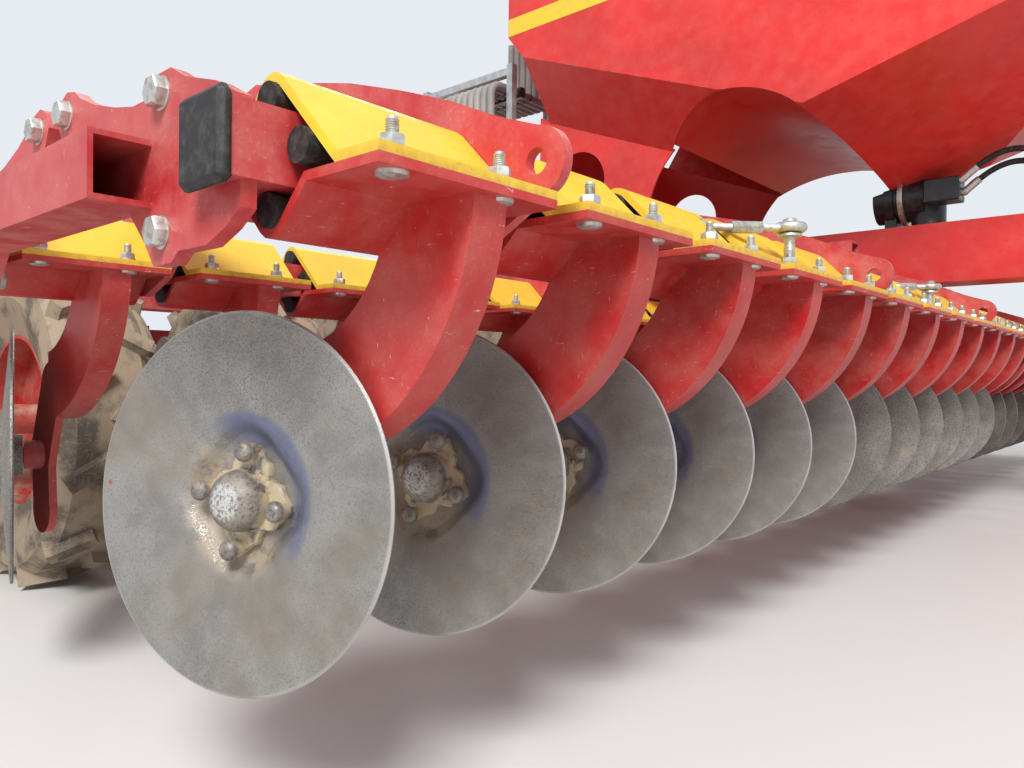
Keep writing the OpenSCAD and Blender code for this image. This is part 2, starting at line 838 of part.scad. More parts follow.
// Centre section's frame
module centre_half_frame() {
    for (x = hinge_x) {
        centre_hinge(x);
    }
    tube_x(
        rear_beam_x - beam_w / 2, main_x + beam_w / 2, -skirt_y, beam_top + centre_rail_h / 2,
        rail_w, centre_rail_h, tube_t);
    ears(-750);
    for (row = [0, 1]) {
        x = row == 0 ? packer_x : rear_axle_x;
        y = centre_bearings[row];
        bearing_drop(x, y, rail_z);
        box_x(x - 70, x + 70, y, rail_z, 60, 60);
        box_y(x, min(y, -skirt_y), max(y, -skirt_y), rail_z + 20, 60);
    }
    coulter_carrier(-carrier_rows * seed_pitch);
    cylinder_base_lug();
}

module cylinder_base_lug() {
    y = cyl_base[0];
    z = cyl_base[1];
    for (side = [-1, 1]) {
        centre = cyl_x + side * (cyl_eye_w / 2 + 1 + 8);
        cross_plate(centre - 8, centre + 8) polygon([
            [y - 60, beam_top - 20], [y - 30, z + 50], [y + 30, z + 50], [y + 60, beam_top - 20],
        ]);
    }
    box_x(cyl_x - cyl_eye_w / 2 - 17, rear_beam_x, y, beam_top - 30, 120, 50);
    pin_x(cyl_x - cyl_eye_w / 2 - 20, cyl_x + cyl_eye_w / 2 + 20, y, z, cyl_pin_r);
}

module centre_frame() {
    color("firebrick") {
        for (x = [main_x, rear_beam_x]) {
            tube_y(x, -fold_y + fold_gap, fold_y - fold_gap, beam_z, beam_w, tube_t);
        }
        for (x = [front_bar_x, rear_bar_x]) {
            box_y(x, -fold_y + fold_gap, fold_y - fold_gap, bar_z, bar_w);
        }
        coulter_bars(-fold_y + fold_gap, fold_y - fold_gap);
        both_halves() centre_half_frame();
    }
}

// Drawbar: level over the discs, then sloping down to the tow eye, with the jack's sleeve
module drawbar() {
    color("red") difference() {
        union() {
            side_plate(-drawbar_w / 2, drawbar_w / 2) polygon([
                [drawbar_rear_x, drawbar_z - drawbar_h / 2], [drawbar_rear_x, drawbar_z + drawbar_h / 2],
                [drawbar_knee_x, drawbar_z + drawbar_h / 2], [drawbar_front_x, hitch_z + 70],
                [drawbar_front_x, hitch_z - 70], [drawbar_knee_x, drawbar_z - drawbar_h / 2],
            ]);
            translate([jack_x, jack_y, jack_low]) linear_extrude(jack_top - jack_low)
                tube2d(jack_tube, jack_tube, jack_wall);
            translate([jack_x - 40, jack_y + jack_tube / 2 - 2, 480]) cube([80, 60, 180]);
        }
    }
}

module tow_eye() {
    color("dimgray") difference() {
        union() {
            translate([eye_x, 0, hitch_z - eye_t / 2]) cylinder(r = eye_out_r, h = eye_t);
            translate([drawbar_front_x + 20, -45, hitch_z - eye_t / 2])
                cube([eye_x - drawbar_front_x - 55, 90, eye_t]);
            translate([drawbar_front_x, -drawbar_w / 2, hitch_z - 70]) cube([22, drawbar_w, 140]);
        }
        translate([eye_x, 0, hitch_z - eye_t]) cylinder(r = eye_r, h = 2 * eye_t);
    }
}

module jack_leg() {
    leg = jack_tube - 2 * jack_wall - 2 * jack_gap;
    color("dimgray") {
        translate([jack_x - leg / 2, jack_y - leg / 2, 12]) cube([leg, leg, jack_leg_h]);
        translate([jack_x, jack_y, 0]) cylinder(r = jack_foot_r, h = 14);
    }
}

// Hopper: a sheet box whose underside is cut by two rear and two front planes
module cut_above_plane(point, normal, inset) {
    size = 6000;
    length = norm(normal);
    translate(point) rotate([0, acos(normal[2] / length), atan2(normal[1], normal[0])])
        translate([-size / 2, -size / 2, -inset]) cube([size, size, size]);
}

module hopper_form(inset) {
    rear_normal = cross([1, 0, -rear_edge_slope], [0, hopper_half - skirt_y, -skirt_drop]);
    front_normal = cross([hopper_front_x - 90, 0, 240], [keel_x - 90, hopper_half, keel_z - 1480]);
    difference() {
        side_plate(-hopper_half + inset, hopper_half - inset) offset_edge(inset);
        for (side = [-1, 1]) {
            cut_above_plane([-260, side * hopper_half, 1490], side_normal(rear_normal, side), inset);
            cut_above_plane([90, side * hopper_half, 1480], side_normal(front_normal, side), inset);
        }
    }
}

function side_normal(n, side) = [-n[0], side * n[1], -n[2]];

// The side view, moved in by the wall
module offset_edge(inset) {
    polygon([
        [hopper_rear_x + inset, hopper_top_z + inset], [hopper_rear_x + inset, 2010 + inset * 0.5],
        [hopper_rear_x + 90 + inset * 0.5, 1900], [-260, keel_z - 100], [90, keel_z - 100],
        [hopper_front_x - inset, 1720], [hopper_front_x - inset, hopper_top_z + inset],
    ]);
}

module hopper() {
    color("red") {
        difference() {
            hopper_form(0);
            arch_space(0);
            difference() {
                hopper_form(hopper_t);
                arch_space(hopper_t);
            }
        }
        for (x = lid_hinge_x) {
            wall_tab(x);
            pin_x(x, x + 2 * lid_tab_t + lid_gap, lid_axis[0], lid_axis[1], lid_pin_r);
        }
    }
}

// The arch goes through the hopper's floor from side to side
module arch_space(wall) {
    pin_y(arch[0], -hopper_half - 1, hopper_half + 1, arch[1], arch[2] + wall);
}

// Tabs that reach out to the lid's hinge axis, one from the wall and one from the lid
module wall_tab(x) {
    cross_plate(x, x + lid_tab_t) {
        translate(lid_axis) circle(lid_hinge_r);
        polygon([
            [hopper_half, hopper_top_z - 70], [hopper_half, hopper_top_z - 8],
            [hopper_half + 20, hopper_top_z - 8],
            lid_axis + [-lid_hinge_r + 2, -8], lid_axis + [lid_hinge_r, 0],
        ]);
    }
}

module lid_tab(x) {
    cross_plate(x, x + lid_tab_t) {
        translate(lid_axis) circle(lid_hinge_r);
        translate([hopper_half + lid_over - 3, lid_axis[1] - 12])
            square([lid_axis[0] - hopper_half - lid_over, 24]);
    }
}

module skirt2d() {
    top = 1490 - skirt_drop + 10;
    difference() {
        polygon([
            [skirt_rear_x, beam_top + centre_rail_h],
            [skirt_rear_x, top + rear_edge_slope * (-260 - skirt_rear_x)],
            [-300, top + rear_edge_slope * 40], [-300, beam_top + centre_rail_h],
        ]);
        translate([arch[0], arch[1]]) circle(arch[2], $fn = 96);
        translate([small_arch[0], small_arch[1]]) circle(small_arch[2]);
    }
}

module hopper_skirts() {
    color("red") difference() {
        both_halves() side_plate(-skirt_y - skirt_t / 2, -skirt_y + skirt_t / 2) skirt2d();
        hopper_form(0);
    }
}

// A flat lid with a hollow underside that sits on the hopper's rim
module hopper_lid() {
    rim = 22;
    skin = 4;
    low = hopper_top_z + lid_gap;
    length = hopper_front_x - hopper_rear_x + 2 * lid_over;
    width = 2 * (hopper_half + lid_over);
    color("gray") difference() {
        union() {
            difference() {
                translate([hopper_rear_x - lid_over, -width / 2, low]) cube([length, width, lid_t]);
                translate([hopper_rear_x + rim, -hopper_half + rim, low - 1])
                    cube([length - 2 * (lid_over + rim), width - 2 * (lid_over + rim), lid_t - skin + 1]);
            }
            for (x = lid_hinge_x) {
                lid_tab(x + lid_tab_t + lid_gap);
            }
        }
        for (x = lid_hinge_x) {
            pin_x(x - 1, x + 3 * lid_tab_t, lid_axis[0], lid_axis[1], lid_pin_r + run_gap);
        }
    }
}

// Metering unit below the keel, driven by a motor that lies over the drawbar
module metering() {
    base = drawbar_z + drawbar_h / 2;
    motor_z = base + 118;
    color("black") difference() {
        union() {
            translate([keel_x, 0, base]) cylinder(r = 60, h = keel_z + 60 - base);
            pin_x(-60, keel_x, 0, motor_z, 88);
            pin_x(-20, 12, 0, motor_z, 96);
            translate([-25, -50, base]) cube([42, 100, 60]);
            translate([-30, 60, motor_z - 40]) cube([52, 70, 80]);
        }
        hopper_form(0);
    }
}

// Distributor head on its riser behind the hopper
module distributor() {
    color("gray") {
        base = beam_top + centre_rail_h + platform_t;
        translate([-1700, 0, base]) cylinder(r = 60, h = riser_h);
        translate([-1700, 0, base + riser_h]) cylinder(r = 220, h = 60);
        translate([-1700, 0, base + riser_h + 60]) cylinder(r = 205, h = 70);
    }
}

// Platform with a hand rail round its rear
module platform() {
    floor_z = beam_top + centre_rail_h;
    x = [platform_x[0] + rail_bar, platform_x[1] - rail_bar];
    y = platform_half - rail_bar;
    color("dimgray") {
        translate([platform_x[0], -platform_half, floor_z])
            cube([platform_x[1] - platform_x[0], 2 * platform_half, platform_t]);
        both_halves() {
            for (post = x) {
                translate([post - rail_bar / 2, -y - rail_bar / 2, floor_z + platform_t - 1])
                    cube([rail_bar, rail_bar, hand_rail_h]);
            }
            for (z = [hand_rail_h / 2, hand_rail_h]) {
                box_x(x[0], x[1], -y, floor_z + platform_t + z - rail_bar, rail_bar, rail_bar);
            }
        }
        for (z = [hand_rail_h / 2, hand_rail_h]) {
            box_y(x[0], -y, y, floor_z + platform_t + z - rail_bar, rail_bar);
        }
    }
}

// What the centre section shares with the wings
module centre_clamps() {
    color("gold") both_halves() both_rows(centre_units) clamp_top();
}

module centre_arms() {
    color("firebrick") both_halves() {
        both_rows(centre_units) clamp_bottom();
        arm_rows(centre_units);
    }
}

module centre_cords() {
    color("black") both_halves() both_rows(centre_units) cords();
}

module centre_discs() {
    color("silver") {
        both_halves() row_discs(centre_units, centre_units);
        coulter_places(0) seed_disc();
    }
}

module centre_coulters() {
    color("red") coulter_section(0, -fold_y + fold_gap, fold_y - fold_gap);
}

module centre_press_wheels() {
    color("black") coulter_places(0) press_wheel();
}

module centre_tyres(row) {
    color("black") tyres(row == 0 ? packer_x : rear_axle_x, centre_wheels[row]);
}

module centre_rims(row) {
    color("red") rims(
        row == 0 ? packer_x : rear_axle_x, centre_wheels[row],
        row == 0 ? -740 : -990, row == 0 ? 740 : 990);
}

// Wings: side -1 is the right one

module wing_structure(side) {
    color("firebrick") on_side(side) wing_frame();
}

module wing_clamps(side) {
    color("gold") on_side(side) both_rows(wing_units) clamp_top();
}

module wing_arms(side) {
    color("firebrick") on_side(side) {
        both_rows(wing_units) clamp_bottom();
        arm_rows(wing_units);
    }
}

module wing_cords(side) {
    color("black") on_side(side) both_rows(wing_units) cords();
}

module wing_fixed_discs(side) {
    inner_units = [for (i = [0:wing_discs - spinning_discs - 1]) wing_units[i]];
    color("silver") on_side(side) {
        row_discs(inner_units, wing_units);
        coulter_places(wing_section) seed_disc();
    }
}

module wing_coulters(side) {
    color("red") on_side(side) coulter_section(wing_section, -wing_end_y, -beam_end_y);
}

module wing_press_wheels(side) {
    color("black") on_side(side) coulter_places(wing_section) press_wheel();
}

module wing_tyres(side, row) {
    color("black") on_side(side) tyres(row == 0 ? packer_x : rear_axle_x, wing_wheels(row));
}

module wing_rims(side, row) {
    inner_y = row == 0 ? -fold_y - 16 : -wing_rail_y + 25;
    x = row == 0 ? packer_x : rear_axle_x;
    color("red") on_side(side) rims(x, wing_wheels(row), -side_y - 25, inner_y);
}

module wing_barrel(side) {
    color("red") on_side(side) barrel();
}

module wing_rod(side) {
    color("silver") on_side(side) rod();
}

// Spinning discs are numbered from the machine's outer end
module wing_disc(side, number) {
    color("silver") on_side(side) row_discs([wing_units[wing_discs - number]], []);
}

centre_frame();
drawbar();
tow_eye();
jack_leg();
platform();
hopper();
hopper_skirts();
hopper_lid();
metering();
distributor();
centre_clamps();
centre_arms();
centre_cords();
centre_discs();
centre_coulters();
centre_press_wheels();
centre_rims(0);  // centre_front_rims
centre_tyres(0);  // centre_front_tyres
centre_rims(1);  // centre_rear_rims
centre_tyres(1);  // centre_rear_tyres
for (side = [-1, 1]) {
    wing = side < 0 ? "right_" : "left_";
    wing_structure(side);
    wing_clamps(side);
    wing_arms(side);
    wing_cords(side);
    wing_fixed_discs(side);
    wing_coulters(side);
    wing_press_wheels(side);
    wing_rims(side, 0);
    wing_tyres(side, 0);
    wing_rims(side, 1);
    wing_tyres(side, 1);
    wing_barrel(side);
    wing_rod(side);
    for (number = [1:spinning_discs]) {
        wing_disc(side, number);
    }
}
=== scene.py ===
import math
import random

import bpy
from mathutils import Matrix, Vector


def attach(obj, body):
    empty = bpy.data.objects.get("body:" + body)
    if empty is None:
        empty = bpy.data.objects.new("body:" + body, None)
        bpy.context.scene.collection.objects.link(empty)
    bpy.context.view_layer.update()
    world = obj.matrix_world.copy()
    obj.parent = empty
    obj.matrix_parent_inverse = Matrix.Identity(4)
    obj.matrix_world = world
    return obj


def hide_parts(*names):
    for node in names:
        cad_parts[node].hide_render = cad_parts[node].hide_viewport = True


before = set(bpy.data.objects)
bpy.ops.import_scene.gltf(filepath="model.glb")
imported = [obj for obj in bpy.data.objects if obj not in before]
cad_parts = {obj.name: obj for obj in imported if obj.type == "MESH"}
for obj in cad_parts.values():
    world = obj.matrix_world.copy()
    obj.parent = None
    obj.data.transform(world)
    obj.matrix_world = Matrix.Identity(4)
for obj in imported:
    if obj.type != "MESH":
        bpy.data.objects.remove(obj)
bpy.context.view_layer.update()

# Camera: the photograph is taken from low down beyond the right wing's outer end, and
# looks along the front row of discs towards the hopper.
CAMERA_PLACE = Vector((0.900, -3.307, 0.505))
CAMERA_YAW, CAMERA_PITCH, CAMERA_ROLL = 0.7217, -0.0104, 0.0105
FOCAL_PIXELS, PHOTO_WIDTH, SENSOR_MM = 776.32, 1024, 36.0

camera_data = bpy.data.cameras.new("camera")
camera_data.sensor_width = SENSOR_MM
camera_data.lens = SENSOR_MM * FOCAL_PIXELS / PHOTO_WIDTH
camera_data.clip_start = 0.02
camera = bpy.data.objects.new("camera", camera_data)
bpy.context.scene.collection.objects.link(camera)
forward = Vector((
    -math.sin(CAMERA_YAW) * math.cos(CAMERA_PITCH),
    math.cos(CAMERA_YAW) * math.cos(CAMERA_PITCH),
    math.sin(CAMERA_PITCH),
))
level = forward.cross(Vector((0, 0, 1))).normalized()
upright = level.cross(forward)
right = level * math.cos(CAMERA_ROLL) + upright * math.sin(CAMERA_ROLL)
top = upright * math.cos(CAMERA_ROLL) - level * math.sin(CAMERA_ROLL)
turned_to_view = Matrix((right, top, -forward)).transposed().to_4x4()
camera.matrix_world = Matrix.Translation(CAMERA_PLACE) @ turned_to_view
bpy.context.scene.camera = camera
bpy.context.scene.view_settings.view_transform = "Standard"

# Floor and studio light: a plain pale floor, an even pale surround, one broad lamp from
# ahead and outboard of the right wing, and a weak one from behind.
FLOOR_SIZE, FLOOR_Z, FLOOR_ROUGHNESS = 60.0, -0.001, 0.9
FLOOR_COLOUR = (0.72, 0.71, 0.69, 1)
FILL_COLOUR, FILL_STRENGTH = (0.93, 0.96, 1.0, 1), 0.55
BACKDROP_COLOUR = (0.80, 0.84, 0.90, 1)


def square(size, z):
    half = size / 2
    mesh = bpy.data.meshes.new("floor")
    corners = [(-half, -half, z), (half, -half, z), (half, half, z), (-half, half, z)]
    mesh.from_pydata(corners, [], [(0, 1, 2, 3)])
    return mesh


floor = bpy.data.objects.new("floor", square(FLOOR_SIZE, FLOOR_Z))
bpy.context.scene.collection.objects.link(floor)
floor_material = bpy.data.materials.new("studio_floor")
floor_material.use_nodes = True
floor_shader = floor_material.node_tree.nodes["Principled BSDF"]
floor_shader.inputs["Base Color"].default_value = FLOOR_COLOUR
floor_shader.inputs["Roughness"].default_value = FLOOR_ROUGHNESS
floor.data.materials.append(floor_material)

world = bpy.data.worlds.new("studio")
bpy.context.scene.world = world
world.use_nodes = True
world_nodes, world_links = world.node_tree.nodes, world.node_tree.links
world_nodes.clear()
light_path = world_nodes.new("ShaderNodeLightPath")
seen = light_path.outputs["Is Camera Ray"]
for other in ("Is Glossy Ray", "Is Transmission Ray"):
    either = world_nodes.new("ShaderNodeMath")
    either.operation = "MAXIMUM"
    world_links.new(seen, either.inputs[0])
    world_links.new(light_path.outputs[other], either.inputs[1])
    seen = either.outputs[0]
fill = world_nodes.new("ShaderNodeBackground")
fill.inputs["Color"].default_value = FILL_COLOUR
fill.inputs["Strength"].default_value = FILL_STRENGTH
backdrop = world_nodes.new("ShaderNodeBackground")
backdrop.inputs["Color"].default_value = BACKDROP_COLOUR
mixed = world_nodes.new("ShaderNodeMixShader")
world_out = world_nodes.new("ShaderNodeOutputWorld")
world_links.new(seen, mixed.inputs[0])
world_links.new(fill.outputs[0], mixed.inputs[1])
world_links.new(backdrop.outputs[0], mixed.inputs[2])
world_links.new(mixed.outputs[0], world_out.inputs[0])


def softbox(name, place, target, size, watts):
    data = bpy.data.lights.new(name, "AREA")
    data.size = size
    data.energy = watts
    lamp = bpy.data.objects.new(name, data)
    lamp.location = place
    lamp.rotation_mode = "QUATERNION"
    lamp.rotation_quaternion = (Vector(target) - Vector(place)).to_track_quat("-Z", "Y")
    bpy.context.scene.collection.objects.link(lamp)


softbox("key", place=(4.5, -8.5, 7.5), target=(0.0, -1.5, 0.6), size=3.5, watts=1250)
softbox("rim", place=(-6.5, 5.0, 6.0), target=(-0.5, 0.0, 1.0), size=4.0, watts=420)


# Red frames of the centre section and the wings: welded square tube and plate in sprayed
# red enamel, dulled pink by dust where it faces up, with fine pale scratches and a few
# chips.
class Surface:
    """A finish with its patterns in the machine's metres or, with own, in the piece's."""

    def __init__(self, name, roughness, metallic=0.0, own=False):
        self.material = bpy.data.materials.new(name)
        self.material.use_nodes = True
        self.tree = self.material.node_tree
        self.shader = self.tree.nodes["Principled BSDF"]
        self.shader.inputs["Roughness"].default_value = roughness
        self.shader.inputs["Metallic"].default_value = metallic
        if own:
            self.place = self.node("Attribute", attribute_name="own").outputs["Vector"]
        else:
            self.place = self.node("TexCoord").outputs["Object"]

    def node(self, kind, **settings):
        made = self.tree.nodes.new("ShaderNode" + kind)
        for key, value in settings.items():
            setattr(made, key, value)
        return made

    def join(self, source, socket):
        if hasattr(source, "links"):
            self.tree.links.new(source, socket)
        else:
            socket.default_value = source

    def noise(self, scale, detail=3.0, roughness=0.55, stretch=None, distortion=0.0):
        made = self.node("TexNoise")
        made.inputs["Scale"].default_value = scale
        made.inputs["Detail"].default_value = detail
        made.inputs["Roughness"].default_value = roughness
        made.inputs["Distortion"].default_value = distortion
        self.join(self.scaled(stretch) if stretch else self.place, made.inputs["Vector"])
        return made.outputs[0]

    def scaled(self, scale):
        made = self.node("Mapping")
        made.inputs["Scale"].default_value = scale
        self.join(self.place, made.inputs["Vector"])
        return made.outputs[0]

    def cells(self, scale):
        made = self.node("TexVoronoi")
        made.inputs["Scale"].default_value = scale
        self.join(self.place, made.inputs["Vector"])
        return made.outputs["Distance"]

    def radius(self):
        """Distance from the piece's own Z axis."""
        made = self.node("VectorMath", operation="LENGTH")
        self.join(self.scaled((1, 1, 0)), made.inputs[0])
        return made.outputs["Value"]

    def part(self, source, axis):
        made = self.node("SeparateXYZ")
        self.join(source, made.inputs[0])
        return made.outputs[axis]

    def upward(self):
        """1 where the surface faces straight up."""
        return self.part(self.node("NewGeometry").outputs["Normal"], "Z")

    def height(self):
        return self.part(self.place, "Z")

    def fade(self, value, low, high, start=0.0, end=1.0):
        """Start at the low value, end at the high one, and a soft change between them."""
        made = self.node("MapRange", interpolation_type="SMOOTHSTEP")
        for socket, number in zip(made.inputs[1:5], (low, high, start, end)):
            socket.default_value = number
        self.join(value, made.inputs[0])
        return made.outputs[0]

    def clamped(self, operation, first, second):
        """The result of a sum, held between 0 and 1."""
        made = self.node("Math", operation=operation, use_clamp=True)
        self.join(first, made.inputs[0])
        self.join(second, made.inputs[1])
        return made.outputs[0]

    def plus(self, first, second):
        return self.clamped("ADD", first, second)

    def times(self, first, second):
        return self.clamped("MULTIPLY", first, second)

    def mix(self, factor, first, second):
        made = self.node("Mix", data_type="RGBA")
        sockets = (made.inputs[0], made.inputs[6], made.inputs[7])
        for socket, value in zip(sockets, (factor, first, second)):
            if isinstance(value, tuple) and len(value) == 3:
                value = (*value, 1)
            self.join(value, socket)
        return made.outputs[2]

    def colour(self, source):
        opaque = (*source, 1) if isinstance(source, tuple) else source
        self.join(opaque, self.shader.inputs["Base Color"])

    def rough(self, source):
        self.join(source, self.shader.inputs["Roughness"])

    def metal(self, source):
        self.join(source, self.shader.inputs["Metallic"])

    def bump(self, height, depth, strength=1.0):
        made = self.node("Bump")
        made.inputs["Distance"].default_value = depth
        made.inputs["Strength"].default_value = strength
        self.join(height, made.inputs["Height"])
        self.join(made.outputs[0], self.shader.inputs["Normal"])


def enamel(name, paint, dust, dusty, scratches, roughness):
    """Sprayed paint: its own colour, dust on top, scratches and dull patches."""
    shaded = tuple(0.80 * c for c in paint)
    scraped = tuple(0.5 * c + 0.34 for c in paint)
    chip_brown = (0.20, 0.16, 0.14)
    s = Surface(name, roughness)
    broad = s.noise(3.1, 4.0)
    blotch = s.noise(17.0, 5.0, 0.65)
    grain = s.noise(260.0, 2.0, 0.7)
    lying = s.fade(s.upward(), 0.15, 0.95)
    veil = s.times(s.fade(blotch, 0.30, 0.72), s.plus(s.times(lying, dusty), dusty * 0.34))
    speckled = s.times(s.fade(grain, 0.52, 0.72), s.times(veil, 0.8))
    tone = s.mix(s.fade(broad, 0.35, 0.70), paint, shaded)
    tone = s.mix(s.plus(veil, speckled), tone, dust)
    along = s.noise(9.0, 6.0, 0.7, stretch=(34.0, 4.0, 9.0), distortion=0.6)
    across = s.noise(8.0, 6.0, 0.7, stretch=(5.0, 9.0, 40.0), distortion=0.5)
    scratch_along = s.times(s.fade(along, 0.655, 0.69), scratches)
    scratch_across = s.times(s.fade(across, 0.66, 0.695), scratches)
    scratch = s.clamped("MAXIMUM", scratch_along, scratch_across)
    tone = s.mix(scratch, tone, scraped)
    chip = s.times(s.fade(s.cells(61.0), 0.10, 0.07), s.fade(broad, 0.58, 0.66))
    s.colour(s.mix(s.times(chip, scratches), tone, chip_brown))
    s.rough(s.fade(s.plus(veil, s.times(blotch, 0.35)), 0.0, 1.0, roughness, 0.85))
    s.bump(s.plus(s.times(s.noise(420.0, 2.0), 0.3), s.times(scratch, 0.4)), 0.0004, 0.35)
    return s.material


def finish_node(node, material, edge=0.0):
    """Gives a piece of the frame its finish and rounds its edges a little."""
    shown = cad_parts[node]
    shown.data.materials.clear()
    shown.data.materials.append(material)
    if edge:
        worn = shown.modifiers.new("rounded_edges", "BEVEL")
        worn.width = edge
        worn.segments = 2
        worn.limit_method = "ANGLE"
        worn.angle_limit = math.radians(35)
        worn.use_clamp_overlap = True


frame_red = enamel("frame_red", paint=(0.520, 0.026, 0.030), dust=(0.68, 0.33, 0.29),
                   dusty=0.85, scratches=0.75, roughness=0.36)
for node in ("centre_frame", "right_frame", "left_frame"):
    finish_node(node, frame_red, edge=0.003)

# Bolts of the end brackets: zinc-plated hexagon bolts with washers, nuts on the inner
# face, hold each wing's lobed bracket to the disc bars and the side member.
BRACKET_FACE_Y, BRACKET_THICK, BRACKET_MIDDLE_X = 3.000, 0.014, -0.045
BRACKET_BOLTS = [(0.220, 0.748), (0.221, 0.627), (-0.002, 0.776)]
BRACKET_HEX, BRACKET_HEAD, BRACKET_NUT = 0.025, 0.0105, 0.013
BRACKET_WASHER_R, BRACKET_WASHER = 0.0150, 0.0015
SIDES = {"right_wing": -1, "left_wing": 1}


class Shape:
    """Points and faces of a piece while it is built up."""

    def __init__(self):
        self.points, self.faces, self.own = [], [], []

    def add(self, points, faces, place=Matrix()):
        start = len(self.points)
        self.points += [place @ Vector(p) for p in points]
        self.own += [Vector(p) for p in points]
        self.faces += [[start + i for i in face] for face in faces]
        return self

    def put(self, other, place=Matrix()):
        start = len(self.points)
        self.points += [place @ p for p in other.points]
        self.own += other.own
        turned_over = place.determinant() < 0
        for face in other.faces:
            moved = [start + i for i in face]
            self.faces.append(moved[::-1] if turned_over else moved)
        return self

    def turned(self, profile, steps, place=Matrix(), waves=None):
        """A profile of (radius, height) turned about Z, from its lower end up."""
        points, faces, rings = [], [], []
        for radius, height in profile:
            if radius == 0:
                rings.append([len(points)] * steps)
                points.append((0, 0, height))
                continue
            rings.append([len(points) + i for i in range(steps)])
            for i in range(steps):
                angle = math.tau * i / steps
                r = radius + (waves(radius, angle) if waves else 0)
                points.append((r * math.cos(angle), r * math.sin(angle), height))
        for low, high in zip(rings, rings[1:]):
            for i in range(steps):
                j = (i + 1) % steps
                face = []
                for corner in (low[i], low[j], high[j], high[i]):
                    if corner not in face:
                        face.append(corner)
                if len(face) > 2:
                    faces.append(face)
        return self.add(points, faces, place)

    def tube(self, path, radius, sides, ribs=0.0):
        """A round tube along a path of points, closed at both ends."""
        path = [Vector(p) for p in path]
        points, rings, before = [], [], None
        for i, point in enumerate(path):
            along = (path[min(i + 1, len(path) - 1)] - path[max(i - 1, 0)]).normalized()
            if before is None:
                across = along.orthogonal().normalized()
            else:
                across = (before - along * before.dot(along)).normalized()
            before = across
            up = along.cross(across)
            r = radius + (ribs if i % 2 else 0.0)
            rings.append(len(points))
            for k in range(sides):
                angle = math.tau * k / sides
                points.append(point + across * (r * math.cos(angle)) + up * (r * math.sin(angle)))
        faces = []
        for low, high in zip(rings, rings[1:]):
            for k in range(sides):
                j = (k + 1) % sides
                faces.append([low + k, low + j, high + j, high + k])
        faces.append(list(range(rings[0] + sides - 1, rings[0] - 1, -1)))
        faces.append([rings[-1] + k for k in range(sides)])
        return self.add(points, faces)

    def block(self, size, chamfer, place=Matrix()):
        """A box about the origin with chamfered edges."""
        x, y, z = (s / 2 for s in size)
        c = chamfer
        points, faces = [], []
        for height, grow in ((-z, -c), (-z + c, 0), (z - c, 0), (z, -c)):
            for px, py in (
                (x + grow, -y + c), (x + grow, y - c), (x - c, y + grow), (-x + c, y + grow),
                (-x - grow, y - c), (-x - grow, -y + c), (-x + c, -y - grow), (x - c, -y - grow),
            ):
                points.append((px, py, height))
        around = 8
        last = len(points) - around
        for low in range(0, last, around):
            for i in range(around):
                j = (i + 1) % around
                faces.append([low + i, low + j, low + around + j, low + around + i])
        faces.append(list(range(around - 1, -1, -1)))
        faces.append([last + i for i in range(around)])
        return self.add(points, faces, place)

    def piece(self, name, material, body, slot, nodes=(), smooth=35, own=False):
        mesh = bpy.data.meshes.new(name)
        mesh.from_pydata([tuple(p) for p in self.points], [], self.faces)
        mesh.validate()
        mesh.update()
        mesh.shade_smooth()
        mesh.set_sharp_from_angle(angle=math.radians(smooth))
        if own:
            stored = mesh.attributes.new("own", "FLOAT_VECTOR", "POINT")
            stored.data.foreach_set("vector", [c for p in self.own for c in p])
        mesh.materials.append(material)
        made = bpy.data.objects.new(name, mesh)
        bpy.context.scene.collection.objects.link(made)
        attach(made, body)
        if nodes:
            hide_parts(*nodes)
        return made


def raised(z):
    return Matrix.Translation((0, 0, z))


def along_y(x, y, z, side):
    """A place whose local Z points outboard on the given side."""
    return Matrix.Translation((x, y, z)) @ Matrix.Rotation(math.radians(-90 * side), 4, "X")


def hexagon_head(across, height):
    r = across / math.sqrt(3)
    edge_r, edge_z = 0.9 * r, 0.82 * height
    return Shape().turned([(0, 0), (r, 0), (r, edge_z), (edge_r, height), (0, height)], 6)


def washer(radius, thick):
    edge_r, edge_z = 0.97 * radius, 0.8 * thick
    profile = [(0, 0), (radius, 0), (radius, edge_z), (edge_r, thick), (0, thick)]
    return Shape().turned(profile, 28)


def zinc_plating():
    grey, pale, dirt_brown = (0.46, 0.47, 0.44), (0.66, 0.66, 0.61), (0.30, 0.26, 0.21)
    s = Surface("zinc", roughness=0.40, metallic=0.85)
    cloud = s.noise(55.0, 4.0)
    dirt = s.times(s.fade(s.noise(140.0, 3.0), 0.46, 0.66), 0.6)
    s.colour(s.mix(dirt, s.mix(cloud, grey, pale), dirt_brown))
    s.rough(s.fade(cloud, 0.2, 0.8, 0.30, 0.58))
    s.bump(s.noise(600.0, 2.0), 0.0003, 0.3)
    return s.material


zinc = zinc_plating()
for wing, side in SIDES.items():
    bolts = Shape()
    for x, z in BRACKET_BOLTS:
        for bolt_x in (x, 2 * BRACKET_MIDDLE_X - x):
            outer = along_y(bolt_x, side * BRACKET_FACE_Y, z, side)
            inner = along_y(bolt_x, side * (BRACKET_FACE_Y - BRACKET_THICK), z, -side)
            bolts.put(washer(BRACKET_WASHER_R, BRACKET_WASHER), outer)
            bolts.put(hexagon_head(BRACKET_HEX, BRACKET_HEAD), outer @ raised(BRACKET_WASHER))
            bolts.put(hexagon_head(BRACKET_HEX, BRACKET_NUT), inner)
    bolts.piece(wing + "_bracket_bolts", zinc, wing, "zinc_steel")

# Caps on the outer ends of the two disc bars: moulded black rubber pressed onto the
# square tube, rounded at the edges and pale with dust.
BARS = [(0.330, 0.683), (-0.420, 0.683)]
CAP_SIZE, CAP_CHAMFER, CAP_ROUND, CAP_Y = (0.067, 0.014, 0.073), 0.005, 0.003, 3.017


